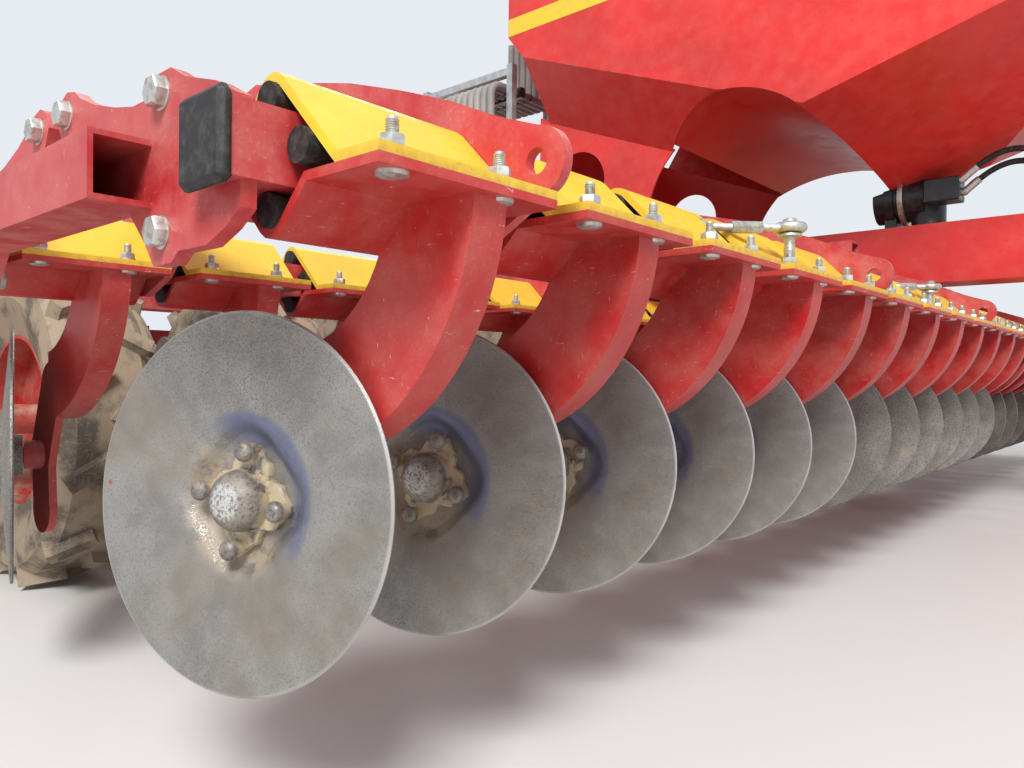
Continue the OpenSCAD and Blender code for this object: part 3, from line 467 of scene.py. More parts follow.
def dusty_cap_rubber():
    black, dust_grey = (0.010, 0.010, 0.011), (0.085, 0.078, 0.070)
    s = Surface("cap_rubber", roughness=0.62)
    dust = s.fade(s.noise(90.0, 5.0, 0.7), 0.40, 0.75)
    s.colour(s.mix(s.times(dust, 0.55), black, dust_grey))
    s.bump(s.noise(330.0, 4.0), 0.0005, 0.5)
    return s.material


cap_rubber = dusty_cap_rubber()
for wing, side in SIDES.items():
    caps = Shape()
    for x, z in BARS:
        caps.block(CAP_SIZE, CAP_CHAMFER, Matrix.Translation((x, side * CAP_Y, z)))
    made = caps.piece(wing + "_bar_caps", cap_rubber, wing, "cord_rubber")
    rounded = made.modifiers.new("rounded", "BEVEL")
    rounded.width = CAP_ROUND
    rounded.segments = 3
    rounded.limit_method = "ANGLE"

# Top clamps of the disc units: thick bent sheet in sprayed yellow, bolted over the bar, a
# little ochre in places, dusty on the flats, and darker along the lower cut edges with painted
# shade.
CLAMP_EDGE_TOP_Z, CLAMP_EDGE_LOW_Z = 0.678, 0.662


def yellow_sheet():
    bright, ochre, pale_dust = (0.86, 0.57, 0.040), (0.78, 0.49, 0.035), (0.72, 0.60, 0.38)
    edge_shade_brown, speck_brown = (0.50, 0.30, 0.05), (0.34, 0.25, 0.12)
    s = Surface("yellow_sheet", roughness=0.42)
    grime = s.noise(75.0, 6.0, 0.72)
    flat_top = s.fade(s.upward(), 0.55, 0.95)
    low_edge_shade = s.fade(s.height(), CLAMP_EDGE_TOP_Z, CLAMP_EDGE_LOW_Z)
    tone = s.mix(s.fade(s.noise(9.0, 4.0), 0.3, 0.7), bright, ochre)
    # Painted shade: a darker, browner copy of the yellow towards the lower cut edges, patchy with
    # the grime pattern.
    tone = s.mix(s.times(low_edge_shade, s.fade(grime, 0.36, 0.64, 0.30, 0.85)), tone, edge_shade_brown)
    tone = s.mix(s.times(s.fade(grime, 0.60, 0.72), 0.55), tone, speck_brown)
    tone = s.mix(s.times(flat_top, s.fade(grime, 0.42, 0.70, 0.0, 0.35)), tone, pale_dust)
    s.colour(tone)
    s.rough(s.fade(grime, 0.3, 0.7, 0.30, 0.62))
    s.bump(s.noise(210.0, 4.0), 0.0005, 0.35)
    return s.material


clamp_yellow = yellow_sheet()
SECTIONS = {"centre": "root", "right": "right_wing", "left": "left_wing"}
for section in SECTIONS:
    finish_node(section + "_clamps", clamp_yellow, edge=0.0016)

# Clamp bolts: each clamp is held by four zinc studs with flanged nuts on top, and their
# flat round heads show below the red lower plate.
PITCH, FOLD_Y, UNIT_COUNT = 0.250, 1.000, 8
CLAMP_BOLT_X, CLAMP_BOLT_Y = 0.121, 0.059
FLANGE_TOP_Z, FLANGE_LOW_Z = 0.671, 0.655
COLLAR_R, COLLAR_TOP_R, COLLAR_EDGE, COLLAR_HIGH = 0.0115, 0.0100, 0.002, 0.0035
NUT_HEX, NUT_HIGH, NUT_Z = 0.0185, 0.0085, 0.003
STUD_R, STUD_LONG, STUD_THREAD, STUD_Z = 0.0055, 0.0135, 0.0018, 0.0112
HEAD_R, HEAD_HIGH = 0.0130, 0.005
SIXTH_TURN = 1.05

wing_units = [FOLD_Y + PITCH * (i + 0.5) for i in range(UNIT_COUNT)]
UNITS = {
    "right": [-y for y in wing_units],
    "left": wing_units,
    "centre": [PITCH * (i - (UNIT_COUNT - 1) / 2) for i in range(UNIT_COUNT)],
}


def stud(radius, length, thread):
    """A threaded rod, with a crest and a root for every turn of its thread."""
    profile = [(0, 0)]
    for i in range(int(length / thread)):
        profile += [(radius, (i + 0.15) * thread), (0.86 * radius, (i + 0.75) * thread)]
    profile += [(0.8 * radius, length), (0, length)]
    return Shape().turned(profile, 12)


clamp_bolt = Shape()
clamp_bolt.turned([
    (0, 0), (COLLAR_R, 0), (COLLAR_R, COLLAR_EDGE), (COLLAR_TOP_R, COLLAR_HIGH), (0, COLLAR_HIGH),
], 20)
clamp_bolt.put(hexagon_head(NUT_HEX, NUT_HIGH), raised(NUT_Z))
clamp_bolt.put(stud(STUD_R, STUD_LONG, STUD_THREAD), raised(STUD_Z))
clamp_bolt.turned([
    (0, 0), (HEAD_R - 0.005, 0.0005), (HEAD_R - 0.0005, 0.002), (HEAD_R, HEAD_HIGH), (0, HEAD_HIGH),
], 20, raised(FLANGE_LOW_Z - FLANGE_TOP_Z - HEAD_HIGH))

nut_turns = random.Random(4)
for section, body in SECTIONS.items():
    bolts = Shape()
    for bar_x, bar_z in BARS:
        for unit in UNITS[section]:
            for x in (bar_x - CLAMP_BOLT_X, bar_x + CLAMP_BOLT_X):
                for y in (unit - CLAMP_BOLT_Y, unit + CLAMP_BOLT_Y):
                    turn = Matrix.Rotation(nut_turns.uniform(0, SIXTH_TURN), 4, "Z")
                    bolts.put(clamp_bolt, Matrix.Translation((x, y, FLANGE_TOP_Z)) @ turn)
    bolts.piece(section + "_clamp_bolts", zinc, body, "zinc_steel")

# Setting rods: zinc eye bolts standing on two clamps of each wing, with a threaded rod and
# a long nut from each eye to a lug on the next clamp's slope.
RODS = [
    ((0.417, 2.100, 0.7425), (0.350, 2.263, 0.728)),
    ((0.401, 1.171, 0.737), (0.340, 1.330, 0.728)),
]
EYE_R, EYE_WIRE_R, EYE_STEPS = 0.0185, 0.0080, 28
FOOT_WASHER_R, FOOT_WASHER, FOOT_HEX, FOOT_NUT = 0.0150, 0.003, 0.024, 0.014
EYE_WASHER_R, EYE_WASHER, EYE_WASHER_DROP = 0.0185, 0.004, 0.014
SHANK_R, SHANK_CAP_R = 0.0085, 0.0105
ROD_R, ROD_THREAD, ROD_GAP = 0.006, 0.002, 0.003
LONG_NUT_HEX, LONG_NUT, LONG_NUT_PART = 0.017, 0.060, 0.35
LUG_R, LUG_LONG = 0.013, 0.025

for wing, side in SIDES.items():
    rods = Shape()
    for (eye_x, eye_y, eye_z), (end_x, end_y, end_z) in RODS:
        eye = Vector((eye_x, side * eye_y, eye_z))
        end = Vector((end_x, side * end_y, end_z))
        angles = [math.tau * k / EYE_STEPS for k in range(EYE_STEPS + 1)]
        ring = [eye + Vector((EYE_R * math.cos(a), EYE_R * math.sin(a), 0)) for a in angles]
        rods.tube(ring, EYE_WIRE_R, 12)
        stand = Matrix.Translation((eye.x, eye.y, FLANGE_TOP_Z))
        rise = eye.z - FLANGE_TOP_Z
        rods.put(washer(FOOT_WASHER_R, FOOT_WASHER), stand)
        rods.put(hexagon_head(FOOT_HEX, FOOT_NUT), stand @ raised(FOOT_WASHER))
        rods.put(washer(EYE_WASHER_R, EYE_WASHER), stand @ raised(rise - EYE_WASHER_DROP))
        rods.turned([
            (0, 0), (SHANK_R, 0), (SHANK_R, rise + 0.006), (SHANK_CAP_R, rise + 0.008),
            (SHANK_CAP_R, rise + 0.013), (SHANK_R - 0.0005, rise + 0.015), (0, rise + 0.015),
        ], 20, stand)
        way = end - eye
        start = eye + way.normalized() * (EYE_R + ROD_GAP)
        turn = way.to_track_quat("Z", "Y").to_matrix().to_4x4()
        rod = stud(ROD_R, way.length - EYE_R - ROD_GAP, ROD_THREAD)
        rods.put(rod, Matrix.Translation(start) @ turn)
        nut_place = Matrix.Translation(eye + way * LONG_NUT_PART) @ turn
        rods.put(hexagon_head(LONG_NUT_HEX, LONG_NUT), nut_place)
        rods.turned([
            (0, 0), (LUG_R, 0), (LUG_R, LUG_LONG - 0.003), (LUG_R - 0.002, LUG_LONG), (0, LUG_LONG),
        ], 20, Matrix.Translation(end) @ turn)
    rods.piece(wing + "_setting_rods", zinc, wing, "zinc_steel")


# Rubber cords: round black rubber pressed between bar and housing, four to a unit, cut off
# square, with pale dust on the cut ends.
def dusty_cord_rubber():
    black, dust_grey = (0.012, 0.012, 0.012), (0.11, 0.10, 0.09)
    s = Surface("cord_rubber", roughness=0.70)
    dust = s.fade(s.noise(120.0, 5.0, 0.7), 0.42, 0.72)
    s.colour(s.mix(s.times(dust, 0.45), black, dust_grey))
    s.bump(s.noise(260.0, 5.0), 0.0006, 0.6)
    return s.material


cord_rubber = dusty_cord_rubber()
for section in SECTIONS:
    finish_node(section + "_cords", cord_rubber, edge=0.0018)

# Arms with their lower clamp plates: welded plate in the same red, scraped by soil and
# stones, with pale dust and a few chips.
arm_red = enamel("arm_red", paint=(0.480, 0.018, 0.018), dust=(0.60, 0.33, 0.26),
                 dusty=0.55, scratches=1.0, roughness=0.34)
for section in SECTIONS:
    finish_node(section + "_arms", arm_red, edge=0.0014)

# Outer discs of the front row: pressed steel worn bare and speckled with soil, a bright
# ground rim, blue paint left round the recess, and a four-lobed iron hub with a domed cap
# and round bolts.
DISC_R, CONE, DISC_THICK, TURNING_DISCS = 0.190, 0.012, 0.005, 6
HUB_BACK, HUB_OUT, HUB_DROP = 0.143, 0.039, 0.305
DISC_YAW, DISC_LEAN = math.radians(16), math.radians(3)
RECESS_INNER_R, RECESS_OUTER_R, BAY_WAVE = 0.050, 0.078, 0.0045
HUB_BOLTS, BOLT_CIRCLE_R, LOBE_FROM_R, LOBE_WAVE = 4, 0.050, 0.040, 0.010
OUTER_HUB_TURN = math.radians(-8)


def worn_disc_steel():
    dark, pale, smear = (0.235, 0.228, 0.218), (0.330, 0.320, 0.305), (0.34, 0.33, 0.31)
    soil, glint, ground_rim = (0.125, 0.110, 0.092), (0.50, 0.49, 0.46), (0.62, 0.61, 0.59)
    brown, blue = (0.245, 0.195, 0.150), (0.085, 0.115, 0.290)
    dry_mud, rust_red = (0.33, 0.265, 0.185), (0.30, 0.085, 0.025)
    s = Surface("disc_steel", roughness=0.48, metallic=0.55, own=True)
    reach = s.radius()
    grit = s.noise(520.0, 3.0, 0.75)
    smudge = s.noise(14.0, 5.0, 0.6)
    streak = s.noise(60.0, 4.0, 0.6)
    tone = s.mix(s.fade(smudge, 0.35, 0.65), dark, pale)
    tone = s.mix(s.times(s.fade(streak, 0.45, 0.7), 0.5), tone, smear)
    tone = s.mix(s.fade(grit, 0.48, 0.64, 0.0, 0.72), tone, soil)
    tone = s.mix(s.fade(grit, 0.40, 0.30, 0.0, 0.35), tone, glint)
    bright_rim = s.fade(reach, DISC_R - 0.004, DISC_R - 0.001)
    tone = s.mix(s.times(bright_rim, 0.5), tone, ground_rim)
    stain = s.fade(s.noise(5.0, 4.0, 0.6), 0.46, 0.62)
    tone = s.mix(s.times(stain, 0.45), tone, brown)
    facing = s.node("Math", operation="MULTIPLY_ADD")
    for socket, value in zip(facing.inputs, (s.part(s.place, "Y"), 0.8, s.part(s.place, "X"))):
        s.join(value, socket)
    facing = facing.outputs[0]
    recess = s.times(s.fade(reach, 0.094, 0.084), s.fade(reach, 0.052, 0.060))
    blue_left = s.times(recess, s.fade(facing, 0.005, 0.055))
    blue_left = s.times(blue_left, s.fade(grit, 0.62, 0.44, 0.15, 0.95))
    tone = s.mix(s.times(blue_left, 0.80), tone, blue)
    mud_area = s.times(s.fade(reach, 0.086, 0.064), s.fade(facing, 0.02, -0.03))
    mud = s.times(mud_area, s.fade(streak, 0.34, 0.52))
    tone = s.mix(s.times(mud, 0.75), tone, dry_mud)
    rust = s.times(s.fade(s.cells(34.0), 0.14, 0.07), s.fade(smudge, 0.56, 0.62))
    s.colour(s.mix(s.times(rust, 0.7), tone, rust_red))
    s.metal(s.clamped("SUBTRACT", s.fade(grit, 0.62, 0.40, 0.35, 0.70), s.times(mud, 0.7)))
    s.rough(s.fade(grit, 0.35, 0.65, 0.36, 0.66))
    s.bump(s.plus(s.times(grit, 0.5), s.times(mud, 0.8)), 0.0012, 0.45)
    return s.material


def cast_hub_iron():
    brown, tan, fleck_black = (0.165, 0.150, 0.135), (0.300, 0.265, 0.225), (0.07, 0.062, 0.055)
    clay_yellow, polished = (0.52, 0.43, 0.29), (0.58, 0.58, 0.57)
    s = Surface("hub_iron", roughness=0.52, metallic=0.35, own=True)
    patch = s.noise(48.0, 5.0, 0.65)
    fleck = s.noise(300.0, 3.0, 0.7)
    height = s.height()
    tone = s.mix(s.fade(patch, 0.35, 0.65), brown, tan)
    tone = s.mix(s.fade(fleck, 0.52, 0.66, 0.0, 0.8), tone, fleck_black)
    clay = s.times(s.fade(height, -0.004, -0.012), s.fade(patch, 0.36, 0.50))
    tone = s.mix(s.times(clay, 0.95), tone, clay_yellow)
    polish = s.times(s.fade(height, 0.009, 0.0125), s.fade(fleck, 0.60, 0.45, 0.2, 1.0))
    s.colour(s.mix(s.times(polish, 0.85), tone, polished))
    s.rough(s.fade(patch, 0.3, 0.7, 0.34, 0.72))
    s.bump(s.plus(s.times(fleck, 0.4), clay), 0.0011, 0.5)
    return s.material


def recess_bays(radius, angle):
    """The recess is pressed in a bay between each two bolts."""
    if RECESS_INNER_R < radius < RECESS_OUTER_R:
        return BAY_WAVE * math.cos(HUB_BOLTS * angle)
    return 0.0


def hub_lobes(radius, angle):
    """The hub's flange reaches out to each bolt."""
    return LOBE_WAVE * math.cos(HUB_BOLTS * angle) ** 3 if radius > LOBE_FROM_R else 0.0


def disc_place(unit):
    """Place of a front disc, with local Z along its axis to the outboard side."""
    bar_x, bar_z = BARS[0]
    side = 1 if unit > 0 else -1
    centre = Matrix.Translation((bar_x - HUB_BACK, -abs(unit) - HUB_OUT, bar_z - HUB_DROP))
    yaw = Matrix.Rotation(DISC_YAW, 4, "Z")
    lean = Matrix.Rotation(math.radians(90) - DISC_LEAN, 4, "X")
    return Matrix.Diagonal((1, -side, 1, 1)) @ (centre @ yaw @ lean)


disc_steel, hub_iron = worn_disc_steel(), cast_hub_iron()
plate = Shape().turned([
    (0.034, -0.032), (0.058, -0.0325), (0.064, -0.030), (0.074, -CONE - DISC_THICK),
    (0.110, -0.0125), (0.150, -0.0088), (DISC_R - 0.001, -DISC_THICK), (DISC_R, -0.0022),
    (DISC_R - 0.002, 0.0), (DISC_R - 0.006, -0.0004), (0.150, -0.0040), (0.110, -0.0077),
    (0.084, -0.0104), (0.076, -0.0124), (0.071, -0.0162), (0.066, -0.0215), (0.061, -0.0256),
    (0.056, -0.0270), (0.030, -0.0270),
], 96, waves=recess_bays)
hub = Shape()
hub.turned([(0.0140, -0.038), (0.034, -0.038), (0.034, -0.0272), (0.0352, -0.0262)], 48)
flange = [(0.0462, -0.0272), (0.0470, -0.0210), (0.0452, -0.0185), (0.0300, -0.0178)]
hub.turned(flange, 64, waves=hub_lobes)
domed_cap = [
    (0.0318, -0.0182), (0.0316, -0.0120), (0.0300, -0.0030), (0.0275, 0.0030), (0.0230, 0.0080),
    (0.0165, 0.0115), (0.0090, 0.0133), (0, 0.0140),
]
hub.turned(domed_cap, 48)
round_bolt = [
    (0.0082, -0.020), (0.0084, -0.0090), (0.0102, -0.0085), (0.0106, -0.0050), (0.0094, -0.0020),
    (0.0066, 0.0002), (0.0030, 0.0012), (0, 0.0015),
]
for k in range(HUB_BOLTS):
    turn = Matrix.Rotation(math.tau * k / HUB_BOLTS, 4, "Z")
    hub.turned(round_bolt, 20, turn @ Matrix.Translation((BOLT_CIRCLE_R, 0, 0)))

hub_turns = random.Random(11)
for section in SECTIONS:
    for i, unit in enumerate(UNITS[section]):
        number = UNIT_COUNT - i
        on_wing = section != "centre"
        angle = OUTER_HUB_TURN if on_wing and number == 1 else hub_turns.uniform(0, math.tau)
        if on_wing and number <= TURNING_DISCS:
            node = "%s_disc_%d" % (section, number)
            rider = "%s_spinning_disc_%d" % (section, number)
            place = disc_place(unit)
            turned_hub = Shape().put(hub, place @ Matrix.Rotation(angle, 4, "Z"))
            Shape().put(plate, place).piece(
                node + "_plate", disc_steel, rider, "disc_steel", [node], smooth=30, own=True)
            turned_hub.piece(
                node + "_hub", hub_iron, rider, "disc_steel", [node], smooth=40, own=True)


# Other discs, of the centre section, the wings' inner ends, the rear row and the seed
# coulters: the same pressed steel, worn bare, with soil dried on in patches.
def soiled_disc_steel():
    dark, pale = (0.195, 0.185, 0.172), (0.290, 0.275, 0.255)
    soil, dry_soil = (0.100, 0.085, 0.070), (0.40, 0.32, 0.22)
    s = Surface("soil_steel", roughness=0.50, metallic=0.55)
    grit = s.noise(380.0, 3.0, 0.75)
    cloud = s.noise(11.0, 5.0, 0.6)
    tone = s.mix(s.fade(cloud, 0.35, 0.65), dark, pale)
    tone = s.mix(s.fade(grit, 0.48, 0.62, 0.0, 0.8), tone, soil)
    s.colour(s.mix(s.fade(cloud, 0.58, 0.70, 0.0, 0.6), tone, dry_soil))
    s.rough(s.fade(grit, 0.35, 0.65, 0.38, 0.68))
    s.bump(grit, 0.001, 0.4)
    return s.material


soil_steel = soiled_disc_steel()
for section in SECTIONS:
    finish_node(section + "_discs", soil_steel)

# Packer: two rows of wheels that carry each section, red pressed rims on a through axle
# and rubber tyres with lugs, caked with pale dry mud.
wheel_red = enamel("wheel_red", paint=(0.50, 0.020, 0.020), dust=(0.50, 0.36, 0.26),
                   dusty=1.0, scratches=0.6, roughness=0.42)


def caked_tyre_rubber():
    damp, dry, pale = (0.115, 0.095, 0.075), (0.34, 0.265, 0.185), (0.46, 0.37, 0.27)
    s = Surface("tyre_mud", roughness=0.88)
    clods = s.noise(11.0, 6.0, 0.62)
    fine = s.noise(190.0, 4.0, 0.7)
    tone = s.mix(s.fade(clods, 0.36, 0.56), damp, dry)
    s.colour(s.mix(s.fade(fine, 0.50, 0.72, 0.0, 0.45), tone, pale))
    s.bump(s.plus(s.times(clods, 0.8), s.times(fine, 0.3)), 0.006, 0.6)
    return s.material


tyre_mud = caked_tyre_rubber()
for section in SECTIONS:
    for row in ("front", "rear"):
        finish_node("%s_%s_rims" % (section, row), wheel_red)
        finish_node("%s_%s_tyres" % (section, row), tyre_mud, edge=0.002)

# Coulters behind the packer: red arms with a seed tube each on the carrier tube, and black
# rubber press wheels that follow the seed discs.
coulter_red = enamel("coulter_red", paint=(0.50, 0.020, 0.020), dust=(0.58, 0.38, 0.30),
                     dusty=0.8, scratches=0.9, roughness=0.40)


def soiled_press_rubber():
    black, soil = (0.022, 0.021, 0.020), (0.30, 0.24, 0.17)
    s = Surface("press_rubber", roughness=0.80)
    clods = s.noise(18.0, 6.0, 0.62)
    s.colour(s.mix(s.fade(clods, 0.46, 0.66), black, soil))
    s.bump(clods, 0.003, 0.5)
    return s.material


press_rubber = soiled_press_rubber()
for section in SECTIONS:
    finish_node(section + "_coulters", coulter_red, edge=0.0015)
    finish_node(section + "_press_wheels", press_rubber)

# Drawbar with the parking jack and the tow eye: welded tube in bright red enamel, a
# zinc-plated sliding leg, and a cast eye that is worn dark.
panel_red = enamel("panel_red", paint=(0.72, 0.030, 0.026), dust=(0.72, 0.30, 0.25),
                   dusty=0.30, scratches=0.25, roughness=0.26)


def dark_casting():
    black, brown = (0.05, 0.048, 0.046), (0.19, 0.15, 0.115)
    s = Surface("cast_dark", roughness=0.55, metallic=0.4)
    grain = s.noise(160.0, 5.0, 0.7)
    s.colour(s.mix(s.fade(grain, 0.40, 0.65), black, brown))
    s.bump(grain, 0.001, 0.6)
    return s.material


finish_node("drawbar", panel_red, edge=0.004)
finish_node("jack_leg", zinc, edge=0.001)
finish_node("tow_eye", dark_casting(), edge=0.002)

# Hopper, its skirts and lid: large smooth sheet panels in bright red with light dust, a
# plain yellow strip stuck along each side, and a hinged dark cover.
STRIP_X, STRIP_Z, HOPPER_SIDE = (-1.418, 0.93), (2.012, 2.088), 0.720
STRIP_THICK, STRIP_CHAMFER = 0.0012, 0.0003


def dark_cover():
    black, grey = (0.030, 0.031, 0.034), (0.085, 0.083, 0.080)
    s = Surface("cover", roughness=0.55)
    s.colour(s.mix(s.noise(6.0, 5.0, 0.6), black, grey))
    s.bump(s.noise(300.0, 3.0), 0.0006, 0.4)
    return s.material


def yellow_film():
    yellow, rubbed = (0.80, 0.56, 0.04), (0.62, 0.42, 0.08)
    s = Surface("strip_yellow", roughness=0.35)
    wear = s.fade(s.noise(30.0, 5.0, 0.7), 0.52, 0.72, 0.0, 0.5)
    s.colour(s.mix(wear, yellow, rubbed))
    return s.material


finish_node("hopper", panel_red)
finish_node("hopper_skirts", panel_red)
finish_node("hopper_lid", dark_cover(), edge=0.004)
strip_yellow = yellow_film()
strip_size = (STRIP_X[1] - STRIP_X[0], STRIP_THICK, STRIP_Z[1] - STRIP_Z[0])
for name, side in (("right", -1), ("left", 1)):
    middle = (sum(STRIP_X) / 2, side * (HOPPER_SIDE + STRIP_THICK / 2), sum(STRIP_Z) / 2)
    strip = Shape().block(strip_size, STRIP_CHAMFER, Matrix.Translation(middle))
    strip.piece("side_strip_" + name, strip_yellow, "root", "yellow_paint")

# Lower side bands of the hopper and a cross wall behind them: folded sheet in the same
# red. Each band runs from the tank's lower edge in and down to the skirt and is cut round
# above the skirt's arch.
BAND_REAR_X, BAND_FRONT_X, BAND_FRONT_Z = -1.330, -0.260, 1.490
BAND_SLOPE, BAND_IN, BAND_DROP, BAND_STEPS = 0.387, 0.200, 0.240, 14
ARCH_X, ARCH_Z, ARCH_R = -0.400, 1.120, 0.424
SHEET, SHEET_GAP, LAYER_OUT, LAYER_DOWN = 0.004, 0.0012, 0.75, 0.60
WALL_X, WALL_Z, WALL_SIZE_Y, WALL_THICK, WALL_CHAMFER = -1.385, (0.982, 1.688), 1.031, 0.006, 0.001


def band_height(x, part):
    """Height of the band at x, at a part of its width in from the tank."""
    return BAND_FRONT_Z - BAND_SLOPE * (x - BAND_FRONT_X) - BAND_DROP * part


def band_end(part):
    """Where the arch cuts the band: its circle meets the band's straight line."""
    rise = band_height(ARCH_X, part) - ARCH_Z
    a, b, c = 1 + BAND_SLOPE ** 2, -2 * BAND_SLOPE * rise, rise ** 2 - ARCH_R ** 2
    return ARCH_X + (-b - math.sqrt(max(b * b - 4 * a * c, 0))) / (2 * a)


band_parts = [k / BAND_STEPS for k in range(BAND_STEPS + 1)]
for name, side in (("right", -1), ("left", 1)):
    points = []
    for layer in (SHEET_GAP, SHEET_GAP + SHEET):
        for part in band_parts:
            y = side * (HOPPER_SIDE - BAND_IN * part + layer * LAYER_OUT)
            for x in (BAND_REAR_X, band_end(part)):
                points.append((x, y, band_height(x, part) - layer * LAYER_DOWN))
    faces = []
    per = 2 * len(band_parts)
    last = 2 * BAND_STEPS
    for a in range(0, last, 2):
        b, c, d = a + 1, a + 3, a + 2
        faces += [[a, d, c, b], [per + a, per + b, per + c, per + d]]
        faces += [[a, per + a, per + d, d], [b, c, per + c, per + b]]
    faces += [[0, 1, per + 1, per], [last, per + last, per + last + 1, last + 1]]
    if side > 0:
        faces = [face[::-1] for face in faces]
    Shape().add(points, faces).piece(name + "_hopper_band", panel_red, "root", "red_panel")

wall_size = (WALL_THICK, WALL_SIZE_Y, WALL_Z[1] - WALL_Z[0])
wall = Shape().block(wall_size, WALL_CHAMFER, Matrix.Translation((WALL_X, 0, sum(WALL_Z) / 2)))
wall.piece("skirt_cross_wall", panel_red, "root", "red_panel")

# Metering drive under the hopper's keel: a motor in black paint with a zinc clamp ring, a
# valve block beside it, and two oil hoses with crimped ferrules that arch forwards to a
# second block on the drawbar.
MOTOR_Z, MOTOR_R = 1.210, 0.088
RING_X, RING_WIDE, RING_THICK, RING_CLEAR = 0.030, 0.018, 0.013, 0.0005
RING_BOLT_PLACE, RING_BOLT_HEX, RING_BOLT_HIGH = (0.039, 0, 1.310), 0.019, 0.010
VALVE_PLACE, VALVE_SIZE = (0.190, -0.090, 1.205), (0.120, 0.090, 0.085)
END_BLOCK_PLACE, END_BLOCK_SIZE = (0.690, -0.075, 1.1395), (0.100, 0.120, 0.095)
BLOCK_CHAMFER = 0.004
OIL_HOSE_R, OIL_Y, OIL_START_X, OIL_START_Z = 0.0105, -0.097, 0.255, 1.214
OIL_END_X, OIL_END_Z, OIL_ARCH, OIL_LEAN, OIL_STEPS = 0.640, 1.155, 0.115, 0.35, 24
OIL_SPREAD_Y, OIL_SPREAD_Z, OIL_END_SPREAD_Z = 0.022, 0.018, 0.012
FERRULE_R, FERRULE_RIB, FERRULE_POINTS, FERRULE_BACK = 0.0135, 0.0006, 4, 0.008


def dusty_black_paint():
    black, dust_grey = (0.012, 0.013, 0.016), (0.10, 0.095, 0.09)
    s = Surface("black_paint", roughness=0.34)
    dust = s.fade(s.noise(45.0, 5.0, 0.65), 0.42, 0.75)
    s.colour(s.mix(s.times(dust, 0.35), black, dust_grey))
    s.rough(s.fade(dust, 0.0, 1.0, 0.28, 0.6))
    return s.material


black_paint = dusty_black_paint()
finish_node("metering", black_paint, edge=0.003)

ring_inner, ring_outer = MOTOR_R + RING_CLEAR, MOTOR_R + RING_CLEAR + RING_THICK
ring = Shape()
ring.turned([
    (ring_inner, 0), (ring_outer - 0.001, 0), (ring_outer, 0.003), (ring_outer, RING_WIDE - 0.003),
    (ring_outer - 0.001, RING_WIDE), (ring_inner, RING_WIDE),
], 64, Matrix.Translation((RING_X, 0, MOTOR_Z)) @ Matrix.Rotation(math.radians(90), 4, "Y"))
ring_bolt = hexagon_head(RING_BOLT_HEX, RING_BOLT_HIGH)
ring.put(ring_bolt, Matrix.Translation(RING_BOLT_PLACE))
ring.piece("motor_ring", zinc, "root", "zinc_steel")

valves = Shape()
valves.block(VALVE_SIZE, BLOCK_CHAMFER, Matrix.Translation(VALVE_PLACE))
valves.block(END_BLOCK_SIZE, BLOCK_CHAMFER, Matrix.Translation(END_BLOCK_PLACE))
oil_hoses, ferrules = Shape(), Shape()
for i in (-1, 1):
    y = OIL_Y + OIL_SPREAD_Y * i
    z = OIL_START_Z - OIL_SPREAD_Z * i
    fall = z - OIL_END_Z + OIL_END_SPREAD_Z * i
    arch = []
    for k in range(OIL_STEPS + 1):
        part = k / OIL_STEPS
        lift = OIL_ARCH * math.sin(math.pi * part) * (1 - OIL_LEAN * part)
        x = OIL_START_X + (OIL_END_X - OIL_START_X) * part
        arch.append(Vector((x, y, z + lift - fall * part ** 2)))
    oil_hoses.tube(arch, OIL_HOSE_R, 16)
    first_point = arch[0] - Vector((FERRULE_BACK, 0, 0))
    ferrules.tube([first_point] + arch[:FERRULE_POINTS], FERRULE_R, 16, FERRULE_RIB)
    ferrules.tube(arch[-FERRULE_POINTS:], FERRULE_R, 16, FERRULE_RIB)
valves.piece("motor_valves", black_paint, "root", "black_paint")
oil_hoses.piece("oil_hoses", cord_rubber, "root", "cord_rubber")
ferrules.piece("oil_hose_ferrules", zinc, "root", "zinc_steel")


# Distributor and platform behind the hopper: a moulded grey plastic head on its riser, and
# a floor plate with posts and hand rails welded up in galvanised steel.
def moulded_grey_plastic():
    dark, pale = (0.24, 0.24, 0.25), (0.36, 0.36, 0.36)
    s = Surface("grey_plastic", roughness=0.50)
    s.colour(s.mix(s.noise(20.0, 4.0), dark, pale))
    return s.material


def galvanised_steel():
    dark, pale = (0.40, 0.41, 0.42), (0.62, 0.63, 0.63)
    s = Surface("galvanised", roughness=0.45, metallic=0.8)
    spangle = s.cells(28.0)
    s.colour(s.mix(spangle, dark, pale))
    s.rough(s.fade(spangle, 0.0, 0.6, 0.35, 0.6))
    return s.material


finish_node("distributor", moulded_grey_plastic(), edge=0.004)
finish_node("platform", galvanised_steel(), edge=0.002)

# Seed hoses: eight smooth grey hoses a side run from the distributor, under the platform's
# top rail and down to a coupling box on the centre rail, held by a black comb and ties.
HOSE_COUNT, HOSE_R, HOSE_PITCH, HOSE_X, HOSE_Z = 8, 0.018, 0.043, -1.605, 1.885
HOSE_INNER_Y, HOSE_OUTER_Y, HOSE_TOP_Z, HOSE_LOW_Z = 0.150, 0.632, 2.290, 0.965
HOSE_BEND, BEND_STEPS, BEND_LEAD = 0.060, 6, 0.02
TIE_Y, TIE_R, TIE_HALF = (0.36, 0.50), 0.0198, 0.003
COMB_Y, COMB_OVER, COMB_DEEP, COMB_HIGH, COMB_CHAMFER = 0.435, 0.016, 0.034, 0.050, 0.003
BOX_Y, BOX_Z, BOX_OVER, BOX_DEEP, BOX_HIGH = 0.609, 0.9345, 0.030, 0.096, 0.085


def dusty_hose_plastic():
    dark, pale, dust = (0.260, 0.245, 0.235), (0.40, 0.36, 0.33), (0.50, 0.42, 0.36)
    s = Surface("hose_grey", roughness=0.55)
    tone = s.mix(s.fade(s.noise(7.0, 5.0, 0.6), 0.38, 0.66), dark, pale)
    s.colour(s.mix(s.times(s.fade(s.upward(), 0.3, 0.9), 0.5), tone, dust))
    s.bump(s.noise(240.0, 3.0), 0.0005, 0.4)
    return s.material


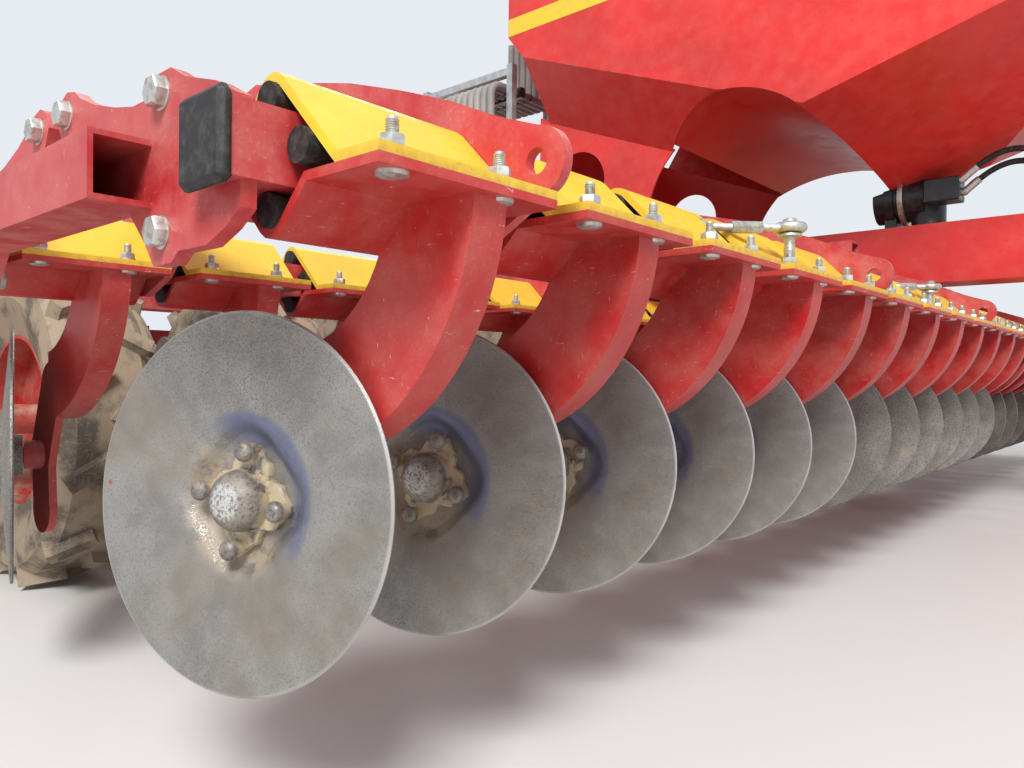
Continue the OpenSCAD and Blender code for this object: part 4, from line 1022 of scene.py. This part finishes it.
hose_grey = dusty_hose_plastic()
quarter = [math.radians(90 * k / BEND_STEPS) for k in range(BEND_STEPS + 1)]
bend_rise = [HOSE_BEND * (1 - math.sin(a)) for a in quarter]
bend_run = [HOSE_BEND * (1 - math.cos(a)) for a in quarter]
hoses_x = [HOSE_X - i * HOSE_PITCH for i in range(HOSE_COUNT)]
middle_x, row_long = sum(hoses_x) / HOSE_COUNT, HOSE_COUNT * HOSE_PITCH
for name, side in (("right", -1), ("left", 1)):
    hoses, ties = Shape(), Shape()
    for x in hoses_x:
        path = [(HOSE_INNER_Y, HOSE_TOP_Z), (HOSE_INNER_Y, HOSE_Z + HOSE_BEND + BEND_LEAD)]
        path += [(HOSE_INNER_Y + y, HOSE_Z + z) for y, z in zip(bend_run, bend_rise)]
        path += [(HOSE_OUTER_Y - y, HOSE_Z - z) for y, z in zip(bend_rise, bend_run)]
        path.append((HOSE_OUTER_Y, HOSE_LOW_Z))
        hoses.tube([(x, side * y, z) for y, z in path], HOSE_R, 16)
        for y in TIE_Y:
            ends = [(x, side * (y - TIE_HALF), HOSE_Z), (x, side * (y + TIE_HALF), HOSE_Z)]
            ties.tube(ends, TIE_R, 16)
    comb_place = Matrix.Translation((middle_x, side * COMB_Y, HOSE_Z))
    ties.block((row_long + COMB_OVER, COMB_DEEP, COMB_HIGH), COMB_CHAMFER, comb_place)
    box_place = Matrix.Translation((middle_x, side * BOX_Y, BOX_Z))
    ties.block((row_long + BOX_OVER, BOX_DEEP, BOX_HIGH), BLOCK_CHAMFER, box_place)
    hoses.piece(name + "_seed_hoses", hose_grey, "root", "cord_rubber")
    ties.piece(name + "_hose_comb", black_paint, "root", "black_paint")

# Fold cylinders: two oil cylinders that lift the wings, each a barrel in red enamel pinned
# to the centre frame and a rod of chromed steel pinned to the wing.
chrome = Surface("chrome", roughness=0.12, metallic=1.0)
chrome.colour((0.72, 0.73, 0.75))
chrome.bump(chrome.noise(700.0, 2.0), 0.0001, 0.1)
for wing in ("right", "left"):
    finish_node(wing + "_barrel", panel_red)
    finish_node(wing + "_rod", chrome.material)
